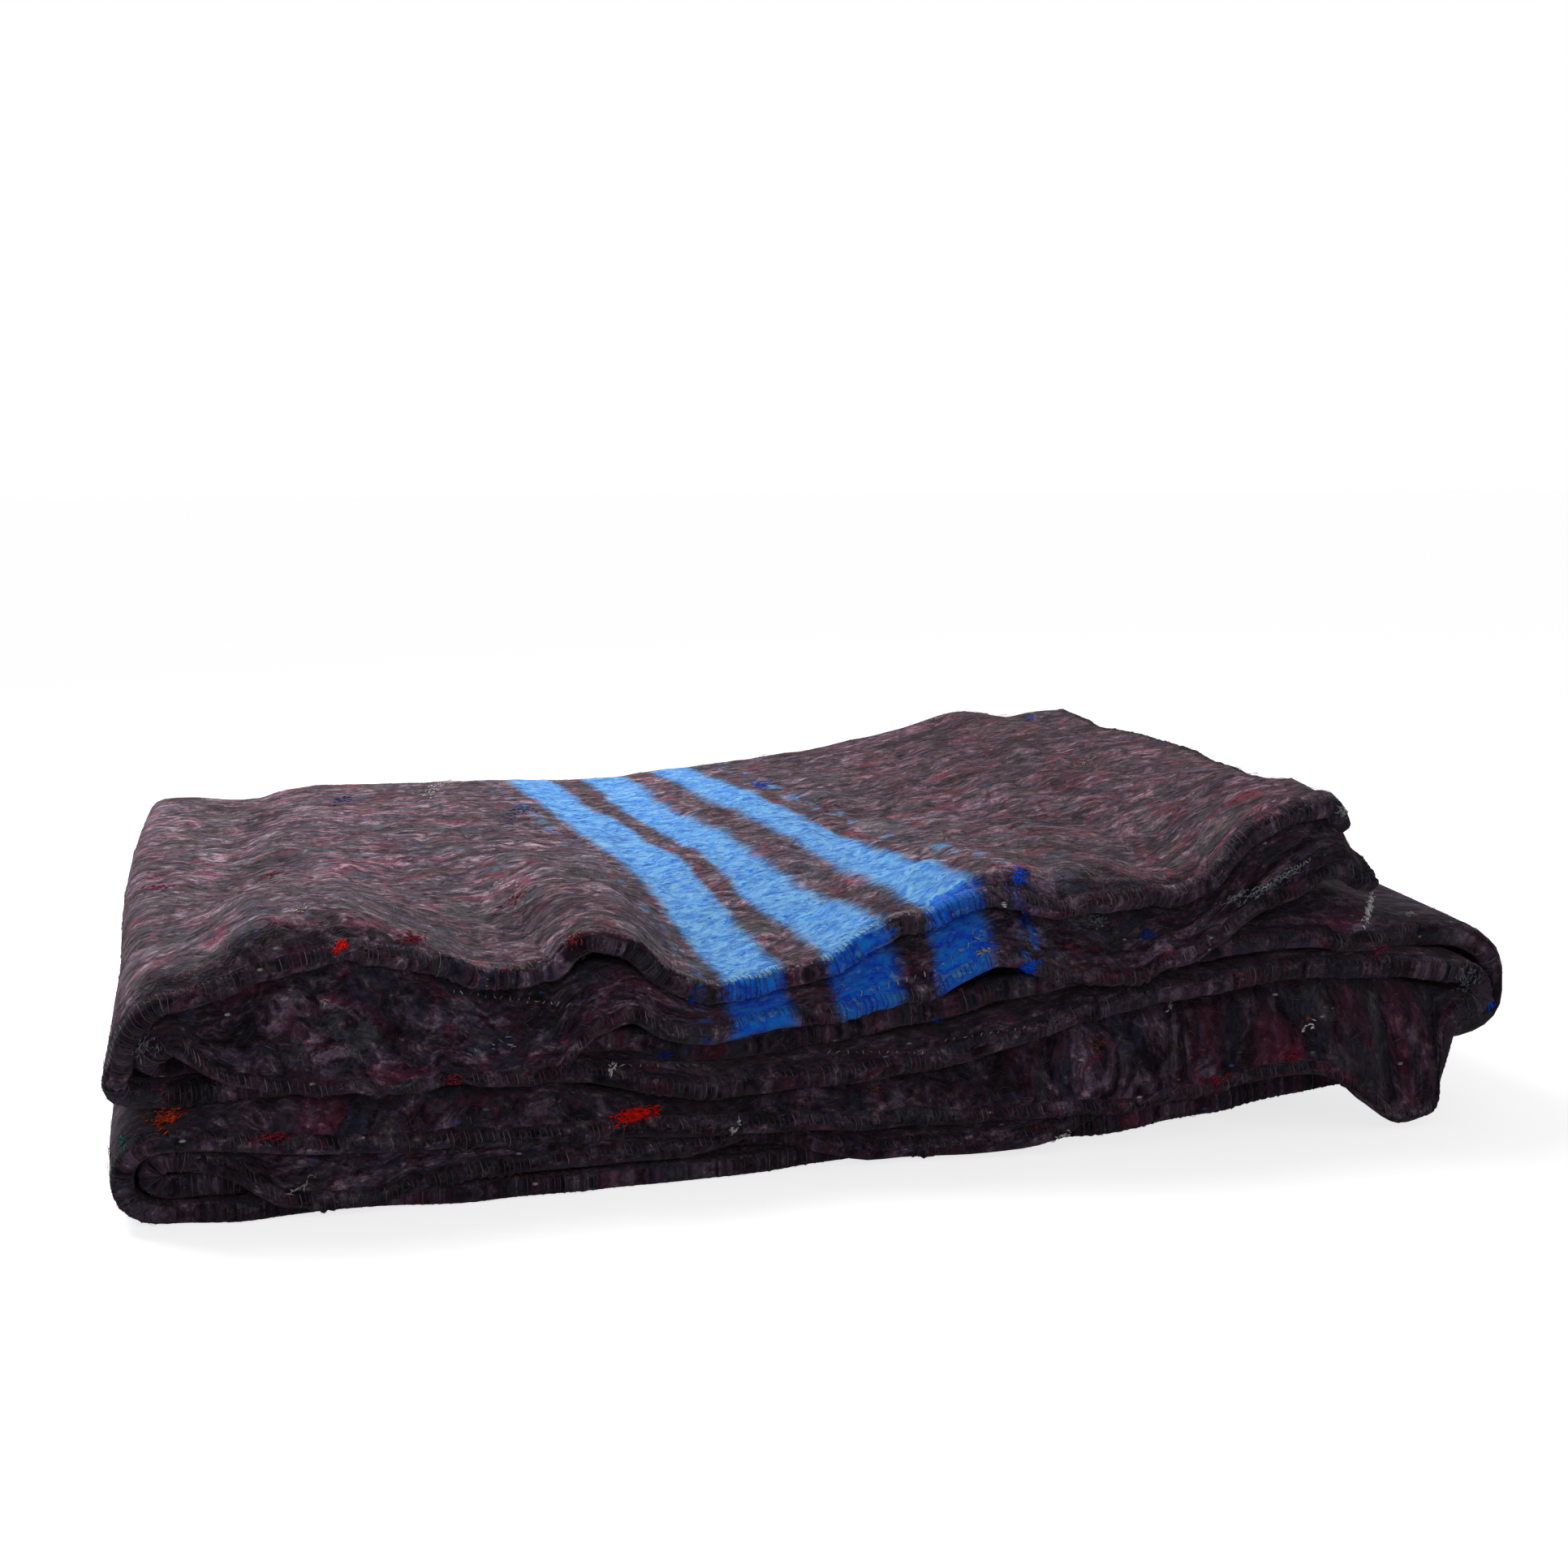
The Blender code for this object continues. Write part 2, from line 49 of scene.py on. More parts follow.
# How the blanket lies folded. Plies count from the top. In sections, a row is a cross-section along the
# front: its place, then the height of the middle of each ply and of its hanging edge.
fold = {
    "sectionsNames": (
        "x ply1 edge1 ply2 edge2 ply3 edge3 ply4 edge4 ply5 edge5 ply6 edge6 ply7 edge7 ply8".split()
    ),
    "sections": (
        (15, 98, 91, 82.5, 78, 65, 64, 52.5, 50, 38.5, 35, 28, 27.5, 15, 14.5, 4.5),
        (40, 108, 97, 95, 60, 67, 66, 54, 51.5, 42.5, 33, 30, 21, 16, 15.5, 4.5),
        (62, 120, 103, 106.5, 54, 67.5, 66.5, 54.5, 52, 43, 30, 30, 7, 16.5, 16, 4.5),
        (90, 118.5, 109.5, 105.5, 52.5, 67.5, 66.5, 55, 52.5, 43.5, 27.5, 30.5, 4.5, 16.5, 16, 4.5),
        (120, 109, 104, 96.5, 52.5, 67, 66, 55, 52, 43.5, 27, 30.5, 9, 16.5, 16, 4.5),
        (150, 97, 95.5, 84, 52, 66, 65, 54.5, 51.5, 43, 26, 29.5, 13, 15.5, 15, 4.5),
        (178, 97, 95.5, 84, 51, 64, 63, 53, 50, 40.5, 25.5, 28, 13, 15.5, 15, 4.5),
        (188, 106.5, 104, 89, 62, 63.5, 62.5, 52.5, 48.5, 38, 25.5, 27, 13, 15, 14.5, 4.5),
        (198, 110.5, 107.5, 93, 70, 63.5, 62.5, 52, 47, 36.5, 25, 26, 13, 15, 14, 4.5),
        (212, 105.5, 103, 90, 73, 62.5, 61.5, 51, 44.5, 35, 25, 25.5, 13, 14.5, 14, 4.5),
        (232, 91, 89, 80, 66, 58.5, 57.5, 47.5, 42, 34.5, 24.5, 24.5, 13, 14.5, 14, 4.5),
        (255, 83, 81.5, 72, 64, 55, 54, 44, 39.5, 34, 23.5, 24, 16, 14.5, 14, 4.5),
        (278, 89, 87.5, 77.5, 70, 57.5, 56.5, 46, 41, 34.5, 22.5, 24.5, 23, 14.5, 14, 4.5),
        (300, 92.5, 90.5, 81, 71, 60, 59, 48, 42, 35.5, 21.5, 25, 24.5, 14.5, 10, 4.5),
        (325, 105, 103, 93, 74, 63, 62, 49, 42.5, 36, 20.5, 25.5, 24.5, 14.5, 5, 4.5),
        (345, 110.5, 107.5, 99, 76, 66, 65, 51, 44, 37, 20, 26, 25, 14.5, 5, 4.5),
        (365, 123, 116, 109, 86, 70, 69, 55, 47.5, 40.5, 19.5, 27.5, 26.5, 15, 5, 4.5),
        (388, 126.5, 116.5, 112.5, 89.5, 74, 73, 59.5, 52.5, 45.5, 19.5, 30, 29, 15.5, 6, 4.62),
        (410, 124.5, 112, 110, 82, 77, 76, 64.5, 58.5, 51, 19.5, 34, 33, 17, 9.5, 4.95),
        (440, 123, 115, 108, 80, 82, 81, 70.5, 66.5, 58, 19.5, 38.5, 37.5, 19, 18.5, 6.5),
        (466, 117, 112, 105, 84, 87, 86, 73, 69.5, 62, 22, 41.5, 40.5, 21.5, 21, 9.5),
        (486, 124, 120, 112, 94, 91, 88, 75.5, 72, 64, 25, 43.5, 42.5, 23.5, 23, 10.5),
        (508, 142, 138, 129, 107, 96, 89, 77.5, 74, 66.5, 28, 46, 45, 25.5, 25, 12),
        (530, 153.5, 149.5, 142.5, 117, 103, 90, 79.5, 76.5, 68.5, 31, 49, 48, 27.5, 27, 14),
        (548, 155, 151, 143.5, 121.5, 105.5, 88.5, 79.5, 76.5, 68.5, 27, 49.5, 48.5, 28.5, 28, 15),
        (563, 134, 129, 125.5, 117, 103, 87, 79, 76, 67, 15.5, 48, 47, 29, 28.5, 16),
        (583, 134, 130, 122, 116, 92.5, 87, 78, 75.5, 63, 4.5, 43.5, 42.5, 30.5, 30, 17),
        (594, 134, 130.5, 120, 115, 89.5, 87, 76.5, 74, 59.5, 7, 41, 40, 31, 30.5, 17.5),
        (602, 134, 130.5, 119, 115, 88, 86.5, 75, 73, 58, 14, 37.5, 36.5, 31.5, 31, 17.5),
        (607, 134, 130.7, 118.5, 115, 86.7, 85.5, 74, 72, 56.7, 48, 35.5, 34.5, 31.7, 31.2, 17.5),
        (612, 134, 131, 118, 115, 85.5, 84.5, 73, 71, 55.5, 54.5, 34.5, 33.5, 32, 31.5, 17.5),
    ),
    # how far each ply's edge comes forward of the front plane, by place
    "reachesNames": "x ply1 ply2 ply3 ply4 ply5 ply6 ply7 ply8".split(),
    "reaches": (
        (15, 5.0, 6.5, -9, -6, 9, 4, 3, 6),
        (40, 6.0, 6.5, -9, -6, 9, 7, 3, 9),
        (62, 6.5, 6.5, -9, -6, 9, 9, -12, 6),
        (90, 4.5, 6.5, -9, -6, 9, 10, -12, 5),
        (120, 2.0, 6.5, -9, -6, 9, 9, -12, 7),
        (150, 2.0, 6.5, -9, -6, 9, 8, -12, 9),
        (190, 2.0, 6.5, -9, -6, 9, 6, -12, 7),
        (220, 2.0, 6.5, -9, 5, 9, 4, -12, 5),
        (255, 2.0, 6.5, -9, 5, 9, 1, -11, 3.5),
        (278, 2.0, 7.5, -9, 5, 9, -4, -9, 0),
        (300, 2.0, 9.0, -9, 5, 9, -7, 1, -6),
        (345, 3.0, 10.5, -9, 5, 9, -7, 4, -15),
        (365, 6.0, 10.5, -9, 5, 9, -7, 6, -15),
        (388, 9.5, 10.5, -9, 5, 9, -7, 8, -15),
        (410, 9.5, 10.5, -9, 5, 9, -7, 9, -13),
        (440, 7.0, 10.5, -9, 5, 9, -7, 1, -4),
        (466, 3.0, 10.5, -9, 5, 9, -5, -3, 0),
        (486, 2.0, 10.5, -2, 5, 9, -4, -4, 0),
        (508, 2.0, 10.5, 5, 5, 9, -4, -4, 2),
        (563, 2.0, 10.5, 5, 5, 13, -6, -4, 2),
        (583, 2.0, 10.5, -3, 5, 13, -12, -4, 2),
        (602, 2.0, 10.5, -9, 5, 13, -12, -4, 2),
        (612, 2.0, 10.5, -9, 5, 13, -12, -4, 2),
    ),
    # depth at which each ply's edge begins to bend down
    "bendStart": {1: 12, 2: 12, 3: 24, 4: 12, 5: 12, 6: 16, 7: 16, 8: 24},
    "leastHanging": 0.5,  # every edge hangs at least this far
    "leastDrop": 0.4,
    "bendDrop": 15.0,  # drop over which a front edge turns from level to upright
    # height of ply 1 along the back, by place; the plies below lie evenly spaced
    "backHeights": (
        (15, 101), (25, 100.7), (36, 99.4), (50, 98.3), (60, 98.7), (73, 102), (85, 104), (97, 104.8),
        (125, 104.7), (190, 105), (250, 103), (310, 108), (370, 114), (405, 119), (500, 136), (563, 138),
        (612, 138),
    ),
    # how far the two lowest plies draw back from the front, by place
    "setBack": ((400, 0), (470, 13), (527, 26), (580, 36), (612, 38)),
    "setBackStart": 12.0,  # depth at which the setting back begins to fade
    "setBackFade": 300.0,
    # each ply: left at the front, left at the back, right at the front, right at the back
    "levelPart": {
        1: (20, 48, 554, 634),
        2: (20, 55, 565, 629),
        3: (20, 55, 602, 590),
        4: (20, 55, 612, 594),
        5: (17, 55, 612, 594),
        6: (19, 57, 602, 590),
        7: (19, 57, 572, 600),
        8: (17, 55, 576, 602),
    },
    # turns at the ends: side, reach at the front, reach behind, sag, squareness
    "turns": {
        "A": ((-1, 20.5, 14.0, 0.55, 0.6), (1, 19.0, 14.0, 0.0, 0.85), (-1, 20.0, 16.0, 0.0, 0.85)),
        "B": ((-1, 13.5, 5.5, 0.3, 0.85), (1, 46.5, 35.0, 0.12, 0.68), (-1, 10.5, 8.0, 0.0, 0.85)),
    },
    "plies": {"A": (1, 4, 5, 8), "B": (2, 3, 6, 7)},
    "panelEnds": (563, 602, 612, 576),
    "turnReach": 130.0,  # depth over which a turn changes from its front shape to its back shape
    "roundest": 1.75,  # a turn's reach at most, in half distances between its plies
    # soft ridges of the top: x, y, half length, half width, heading in degrees, height
    "ridges": (
        (566, 470, 120, 22, 100, 5.0),
        (628, 425, 30, 20, 90, -3.0),
        (592, 440, 120, 16, 90, -5.0),
        (600, 240, 150, 45, 82, 9.0),
        (70, 90, 130, 34, 100, 4.0),
        (215, 120, 140, 30, 96, 5.0),
        (160, 150, 150, 34, 97, -4.0),
        (330, 260, 170, 45, 75, 3.0),
        (470, 200, 150, 40, 110, -4.0),
        (110, 360, 150, 40, 80, 2.5),
    ),
    "ridgeShares": {1: 1.0, 2: 0.8, 3: 0.35, 4: 0.2},  # how much of the ridges the upper plies take
    "ridgeStart": -5.0,
    "ridgeFade": 60.0,
    "stripeShift": 3.5,  # how far ply 2's stripes lie to the right of ply 1's
    "depth": 530.0,
    "backFoldReach": 6.0,  # how far the fold at the back bulges out
    "frontReach": 210.0,  # depth at which the front section has faded out
    "planLeft": (18.0, 53.0),  # the outline's left side, at the front and at the back
    "planRight": (563.0, 634.0),
    # columns between these places, and right of rightFree, are stretched to each ply's own end
    "leftFree": (18.0, 40.0),
    "rightFree": 530.0,
}

felt = {
    "thickness": 9.0,
    "fullness": 0.91,  # share of the room between two plies that the felt fills
    "leastShare": 0.96,  # the thinnest felt, against the flat felt
    "thickest": 11.0,
    "topRoom": 10.4,  # room that the top ply has above and below it
    "hemThickness": 8.6,
    "hemThinning": 6.0,  # drop over which the felt thins to the hem
    "hemBulge": 2.4,
    "rimSteps": 3,
    "rimWidth": 4.0,  # how far the pattern runs on over the rim
    "floorSkin": 0.4,
    "panelSteps": (236, 112, 150, 70),  # grid steps along the four panels
    "turnSteps": (13, 15, 13),
    "hangingSteps": 13,
    "topRows": 27,  # rows from the front bend to the back on the outer half
    "topSpacing": 1.15,  # above 1, rows lie closer together at the front
    "innerRows": 13,
    "innerSpacing": 1.3,
    "foldSteps": 7,
    # soft waves: height, shortest and longest length, how many, seed
    "topWaves": ((0.9, 28, 60, 9, 4), (0.4, 11, 22, 14, 5)),
    "edgeWaves": (0.8, 34, 70, 6, 7),  # in and out along the front edges
    "edgeWaveRise": 0.4,  # how quickly these change with height, against how they change along the front
    "edgeWaveEnd": 90.0,
    "edgeWaveFade": 80.0,
    "waveFull": 110.0,  # height at which a ply has the whole of its waves
    # where the top lies calmer: by how much, from where, over what length
    "calmBack": (0.75, 330.0, 170.0),
    "calmRight": (0.7, 530.0, 60.0),
    "shelterStart": 1.0,  # drop at which the top ply's edge begins to be sheltered from the light
    "shelterFade": 3.0,
}

# The three blue stripes run across the blanket: place of the middle and half width, on plies 1 and 2.
stripes = {
    "bands": ((267.5, 13.5), (315.5, 13.5), (360.0, 12.0)),
    "pins": ((241.0, 1.3), (391.0, 3.6)),
    "pinStrength": 0.65,
    "feather": 3.8,  # how softly a stripe ends
    "fibreFeather": 3.0,  # and how softly its loose fibres do
    "fringe": 17.0,  # how far single tufts reach over a stripe's edge
    "wobble": 8.0,
    # where a stripe strays: its edge, how much of it, how far, from and to what depth
    "drifts": ((313.0, 25.0, 10.0, 30, 480), (283.0, 7.0, -5.0, 50, 420)),
    "driftFade": 90.0,
    "litBlues": ((0.045, 0.270, 0.820), (0.250, 0.620, 1.000)),  # painted lit copy of the blues, paler, for the open top
    "shadedBlues": ((0.002, 0.050, 0.820), (0.012, 0.260, 1.000)),  # painted shaded copy of the blues, deeper and purer, where the stripe is sheltered from the light
    "greyShare": 0.25,  # how much grey felt shows through the blue
    "shadedGreyShare": 0.3,  # how much of that is left in shelter, in the painted shaded copy
    # noises: scale in the three directions, detail, roughness, distortion
    "fringeNoise": ((110, 900, 1), 3, 0.7, 0.4),
    "wobbleNoise": ((30, 42, 1), 2),
    "brokenNoise": ((60, 55, 1), 3),
}


def softLookup(at, places, values):
    # A cubic between table rows. Its slope at a row is the harmonic mean of the slopes on both sides,
    # and level where they differ in sign, so that it never overshoots.
    at = np.clip(at, places[0], places[-1])
    step = np.diff(places)
    rise = np.diff(values) / step
    sameWay = rise[:-1] * rise[1:] > 0
    both = np.where(sameWay, rise[:-1] + rise[1:], 1.0)
    slope = np.concatenate([rise[:1], np.where(sameWay, 2 * rise[:-1] * rise[1:] / both, 0.0), rise[-1:]])
    piece = np.clip(np.searchsorted(places, at, side="right") - 1, 0, len(step) - 1)
    part = (at - places[piece]) / step[piece]
    square = part * part
    cube = square * part
    value = (2 * cube - 3 * square + 1) * values[piece] + (3 * square - 2 * cube) * values[piece + 1]
    value = value + (cube - 2 * square + part) * step[piece] * slope[piece]
    return value + (cube - square) * step[piece] * slope[piece + 1]


def ease(part):
    # 3 p^2 - 2 p^3, with p held between 0 and 1
    part = np.clip(part, 0.0, 1.0)
    return part * part * (3 - 2 * part)


def softWaves(x, y, shortest, longest, count, seed):
    # A sum of sine waves with random headings, lengths and phases, scaled to a spread of about 1.
    random = np.random.default_rng(seed)
    headings = random.uniform(0, np.pi, count)
    lengths = np.exp(random.uniform(np.log(shortest), np.log(longest), count))
    phases = random.uniform(0, 2 * np.pi, count)
    total = np.zeros(np.broadcast(x, y).shape)
    for heading, length, phase in zip(headings, lengths, phases):
        total += np.sin(2 * np.pi * (x * np.cos(heading) + y * np.sin(heading)) / length + phase)
    return total * np.sqrt(2 / count)


def fromTable(table, column, place):
    # One column of one of the fold's tables, looked up by place.
    rows = np.array(fold[table], float)
    return softLookup(place, rows[:, 0], rows[:, fold[table + "Names"].index(column)])


def sectionPlace(x, y):
    # Where a point of the plan belongs in the table of sections: the outline is mapped onto the front.
    back = np.clip(y / fold["depth"], 0, 1)
    (leftFront, leftBack), (rightFront, rightBack) = fold["planLeft"], fold["planRight"]
    left = leftFront + (leftBack - leftFront) * back**2
    right = rightFront + (rightBack - rightFront) * back
    return leftFront + (x - left) * (rightFront - leftFront) / (right - left)


def plyHeight(ply, x, y):
    # The front section's height fades into evenly spaced plies at the back; each ridge adds
    # height * exp(-(along / half length)^2 - (across / half width)^2).
    place = sectionPlace(x, y)
    front = fromTable("sections", "ply%d" % ply, place)
    top = softLookup(place, *np.array(fold["backHeights"], float).T)
    floor = felt["thickness"] / 2
    back = floor + (top - floor) * (8 - ply) / 7
    height = front + (back - front) * ease(y / fold["frontReach"])
    share = fold["ridgeShares"].get(ply, 0.0)
    for ridgeX, ridgeY, halfLength, halfWidth, heading, ridgeHeight in fold["ridges"]:
        turn = np.radians(heading)
        along = (x - ridgeX) * np.cos(turn) + (y - ridgeY) * np.sin(turn)
        across = (ridgeY - y) * np.cos(turn) + (x - ridgeX) * np.sin(turn)
        bump = np.exp(-((along / halfLength) ** 2) - (across / halfWidth) ** 2)
        height = height + share * ridgeHeight * bump * ease((y - fold["ridgeStart"]) / fold["ridgeFade"])
    waves = sum(size * softWaves(x, y, *rest) for size, *rest in felt["topWaves"])
    waves = waves * np.clip(height / felt["waveFull"], 0, 1) ** 1.5
    for at, (calm, start, length) in ((y, felt["calmBack"]), (x, felt["calmRight"])):
        waves = waves * (1 - calm * ease((at - start) / length))
    return height + waves


def hangingDrop(ply, place):
    # How far the front edge of a ply hangs below the ply.
    if ply == 8:
        return np.zeros_like(place)
    drop = fromTable("sections", "ply%d" % ply, place) - fromTable("sections", "edge%d" % ply, place)
    return np.maximum(drop, fold["leastHanging"])


def plyThickness(ply, x, y):
    # A set share of the room to the nearer neighbour, between the flat felt and its loftiest.
    height = plyHeight(ply, x, y)
    above = plyHeight(ply - 1, x, y) - height if ply > 1 else np.full_like(x, felt["topRoom"])
    below = height - plyHeight(ply + 1, x, y) if ply < 8 else 2 * height
    thinnest = felt["thickness"] * felt["leastShare"]
    return np.clip(felt["fullness"] * np.minimum(above, below), thinnest, felt["thickest"])


def plyGrid(ply, panel, stations, shares=(), inward=None, depths=()):
    # A ply as rows by columns of x, y, z, thickness, stripe place and shelter, which is 1 where light hardly
    # comes. The first rows go down the front on a quarter ellipse: forward = reach sin(a) / sin(steepest),
    # down = drop (1 - cos(a)) / (1 - cos(steepest)). They are given by shares of the steepest angle, or by
    # their distance inward from the hem.
    leftFront, leftBack, rightFront, rightBack = fold["levelPart"][ply]
    front = np.array(stations, float)
    free, end = fold["rightFree"], fold["panelEnds"][panel]
    front = np.where(front > free, free + (front - free) * (rightFront - free) / (end - free), front)
    start, free = fold["leftFree"]
    front = np.where(front < free, leftFront + (front - start) * (free - leftFront) / (free - start), front)
    part = (front - leftFront) / (rightFront - leftFront)
    setBack = softLookup(front, *np.array(fold["setBack"], float).T) if ply >= 7 else np.zeros_like(front)
    drop = hangingDrop(ply, front)
    reach = fromTable("reaches", "ply%d" % ply, front)
    bendStart = fold["bendStart"][ply]
    steepest = np.pi / 2 * (1 - np.exp(-np.maximum(drop, fold["leastDrop"]) / fold["bendDrop"]))
    forwardScale = (bendStart + reach) / np.sin(steepest)
    downScale = drop / (1 - np.cos(steepest))
    extra = 0.0
    if inward is not None:
        speed = np.hypot(forwardScale * np.cos(steepest), downScale * np.sin(steepest))
        inward = np.array(inward, float)[:, None]
        shares = np.clip(1 - inward / (speed * steepest), 0, 1)
        extra = np.maximum(0, inward - speed * steepest)
    else:
        shares = np.array(shares, float)[:, None]
    angle = steepest * shares
    hangingY = bendStart - forwardScale * np.sin(angle) + extra
    levelY = bendStart + (fold["depth"] - bendStart) * np.array(depths, float)[:, None] + np.zeros_like(front)
    y = np.concatenate([hangingY + np.zeros_like(front), levelY])
    down = np.concatenate([downScale * (1 - np.cos(angle)) + np.zeros_like(front), np.zeros_like(levelY)])
    y = y + setBack * (1 - ease((y - fold["setBackStart"]) / fold["setBackFade"]))
    back = np.clip(y / fold["depth"], 0, 1)
    left = leftFront + (leftBack - leftFront) * back**2
    right = rightFront + (rightBack - rightFront) * back
    x = left + (right - left) * part
    z = plyHeight(ply, x, y) - down
    thickness = plyThickness(ply, x, y)
    thinner = np.minimum(thickness, felt["hemThickness"])
    thickness = thickness + (thinner - thickness) * ease(down / felt["hemThinning"])
    size, *rest = felt["edgeWaves"]
    waves = size * softWaves(x, z * felt["edgeWaveRise"], *rest)
    y = y + waves * ease((felt["edgeWaveEnd"] - y) / felt["edgeWaveFade"])
    stripePlace = x - fold["stripeShift"] * (ply - 1) if ply < 3 else np.full_like(x, -1000.0)
    for place, reach, amount, nearest, farthest in stripes["drifts"]:
        inside = ease((y - nearest) / stripes["driftFade"]) * ease((farthest - y) / stripes["driftFade"])
        stripePlace = stripePlace + amount * np.exp(-(((stripePlace - place) / reach) ** 2)) * inside
    # Shelter is where the materials paint shade: the top ply's hanging edge, and every lower ply.
    shelter = ease((down - felt["shelterStart"]) / felt["shelterFade"]) if ply == 1 else np.ones_like(x)
    return np.stack([x, y, z, thickness, stripePlace, shelter], axis=-1)


def turnBetween(first, last, side, reachFront, reachBehind, sag, power, steps):
    # Half of a slightly squared ellipse from one ply's end to the next:
    # along the chord (1 - cos^q) / 2, outwards reach * sin^q * (1 - sag * cos).
    angle = np.linspace(0, np.pi, steps + 1)[1:-1]
    mixed = (1 - np.sign(np.cos(angle)) * np.abs(np.cos(angle)) ** power) / 2
    points = first[:, None] + (last - first)[:, None] * mixed[:, None]
    behind = ease(first[:, 1] / fold["turnReach"])
    apart = first[:, 2] - last[:, 2]
    reach = reachFront + (reachBehind - reachFront) * behind
    reach = np.minimum(reach, fold["roundest"] * np.abs(apart) / 2)
    sagHere = sag * np.sign(apart) * (1 - behind)
    points[..., 0] += side * reach[:, None] * np.sin(angle) ** power * (1 - sagHere[:, None] * np.cos(angle))
    return points


def clothHalf(half, stations, turnSteps, **rows):
    # One half of the width over its whole length: four plies joined by three turns.
    pieces = []
    for panel, ply in enumerate(fold["plies"][half]):
        points = plyGrid(ply, panel, stations[panel], **rows)
        if panel % 2 == 0:
            points = points[:, ::-1]
        if pieces:
            turn = fold["turns"][half][panel - 1]
            pieces.append(turnBetween(pieces[-1][:, -1], points[:, 0], *turn, turnSteps[panel - 1]))
        pieces.append(points)
    return np.concatenate(pieces, axis=1)


def joinHalves(lower, upper, steps):
    # Rows of the lower half from hem to back, round the back on a half circle, and forward on the upper half.
    angle = np.linspace(0, np.pi, steps + 1)[1:-1, None, None]
    bend = (upper[-1] + lower[-1]) / 2 + (lower[-1] - upper[-1]) / 2 * np.cos(angle)
    bend[..., 1] += fold["backFoldReach"] * np.sin(angle[..., 0])
    return np.concatenate([lower, bend, upper[::-1]]).swapaxes(0, 1)


def unit(vectors):
    return vectors / np.linalg.norm(vectors, axis=-1, keepdims=True)


def gridNormals(points):
    return unit(np.cross(np.gradient(points, axis=0), np.gradient(points, axis=1)))


def thickShell(grid, push, rimSteps):
    # Both faces of a sheet, half its thickness along the normal to each side, joined by a rounded rim:
    # rim point = edge + outward * push * sin(a) + normal * thickness / 2 * cos(a).
    points, half = grid[..., :3], grid[..., 3:4] / 2
    offset = (gridNormals(points) * half).reshape(-1, 3)
    columns, rows = points.shape[:2]
    count = columns * rows
    number = np.arange(count).reshape(columns, rows)
    quadsOver = np.stack([number[:-1, :-1], number[1:, :-1], number[1:, 1:], number[:-1, 1:]], axis=-1)
    quadsOver = quadsOver.reshape(-1, 4)
    rim = np.concatenate([number[:-1, 0], number[-1, :-1], number[:0:-1, -1], number[0, :0:-1]])
    inner = np.concatenate([number[:-1, 1], number[-2, :-1], number[:0:-1, -2], number[1, :0:-1]])
    flat = points.reshape(-1, 3)
    outward = unit(flat[rim] - flat[inner])
    angle = np.linspace(0, np.pi, rimSteps + 2)[1:-1, None, None]
    rings = flat[rim] + outward * push.reshape(-1)[rim][:, None] * np.sin(angle) + offset[rim] * np.cos(angle)
    ringNumbers = [rim, *(2 * count + np.arange(rimSteps * len(rim)).reshape(rimSteps, -1)), rim + count]
    faces = [quadsOver, (quadsOver + count)[:, ::-1]]
    for upper, lower in zip(ringNumbers[:-1], ringNumbers[1:]):
        faces.append(np.stack([upper, lower, np.roll(lower, -1), np.roll(upper, -1)], axis=-1))
    # the pattern's place: lengths along the middle row and across one column
    along = np.linalg.norm(np.diff(points[:, rows // 2], axis=0), axis=-1)
    across = np.linalg.norm(np.diff(points[columns // 3], axis=0), axis=-1)
    u = np.concatenate([[0], np.cumsum(along)])[:, None] + np.zeros((columns, rows))
    v = np.concatenate([[0], np.cumsum(across)])[None, :] + np.zeros((columns, rows))
    extras = np.stack([u, v, grid[..., 4], grid[..., 5]], axis=-1).reshape(-1, 4)
    onward = extras[rim] - extras[inner]
    onward = onward / np.maximum(np.linalg.norm(onward[:, :2], axis=1, keepdims=True), 1e-6)
    onward[:, 2:] = 0
    ringExtras = extras[rim] + onward * felt["rimWidth"] * np.sin(angle)
    # the rims count as sheltered, so they take the painted shade
    ringExtras[..., 3] = 1
    return {
        "points": np.concatenate([flat + offset, flat - offset, rings.reshape(-1, 3)]),
        "faces": np.concatenate(faces),
        "extras": np.concatenate([extras, extras, ringExtras.reshape(-1, 4)]),
        "shape": (columns, rows),
    }


bundleCentre = np.array([321.6, 261.5, 0.0])  # where the frame's origin lies in the bundle


def toFrame(points):
    # From millimetres off the front left corner to the frame's metres. What would sink into the floor is
    # pressed flat on it: z becomes skin * exp((z - skin) / skin) below the skin.
    points = np.array(points, float)
    skin, z = felt["floorSkin"], points[..., 2]
    points[..., 2] = np.where(z < skin, skin * np.exp((z - skin) / skin), z)
    return (points - bundleCentre) / 1000


def meshPiece(name, points, faces, uv=None, values=None, colours=None):
    mesh = bpy.data.meshes.new(name)
    mesh.from_pydata(points.tolist(), [], faces.tolist())
    mesh.polygons.foreach_set("use_smooth", np.ones(len(mesh.polygons), bool))
    if uv is not None:
        corners = np.empty(len(mesh.loops), np.int32)
        mesh.loops.foreach_get("vertex_index", corners)
        mesh.uv_layers.new(name="clothPlace").data.foreach_set("uv", uv[corners].astype(np.float32).ravel())
    for label, numbers in (values or {}).items():
        mesh.attributes.new(label, "FLOAT", "POINT").data.foreach_set("value", numbers.astype(np.float32))
    for label, numbers in (colours or {}).items():
        data = np.concatenate([numbers, np.ones((len(numbers), 1))], axis=1).astype(np.float32)
        mesh.attributes.new(label, "FLOAT_COLOR", "POINT").data.foreach_set("color", data.ravel())
    mesh.update()
    piece = bpy.data.objects.new(name, mesh)
    bpy.context.scene.collection.objects.link(piece)
    return piece


def shellPiece(name, points, faces, extras):
    values = {"stripePlace": extras[:, 2], "shelter": extras[:, 3]}
    return meshPiece(name, toFrame(points), faces, uv=extras[:, :2] / 1000, values=values)


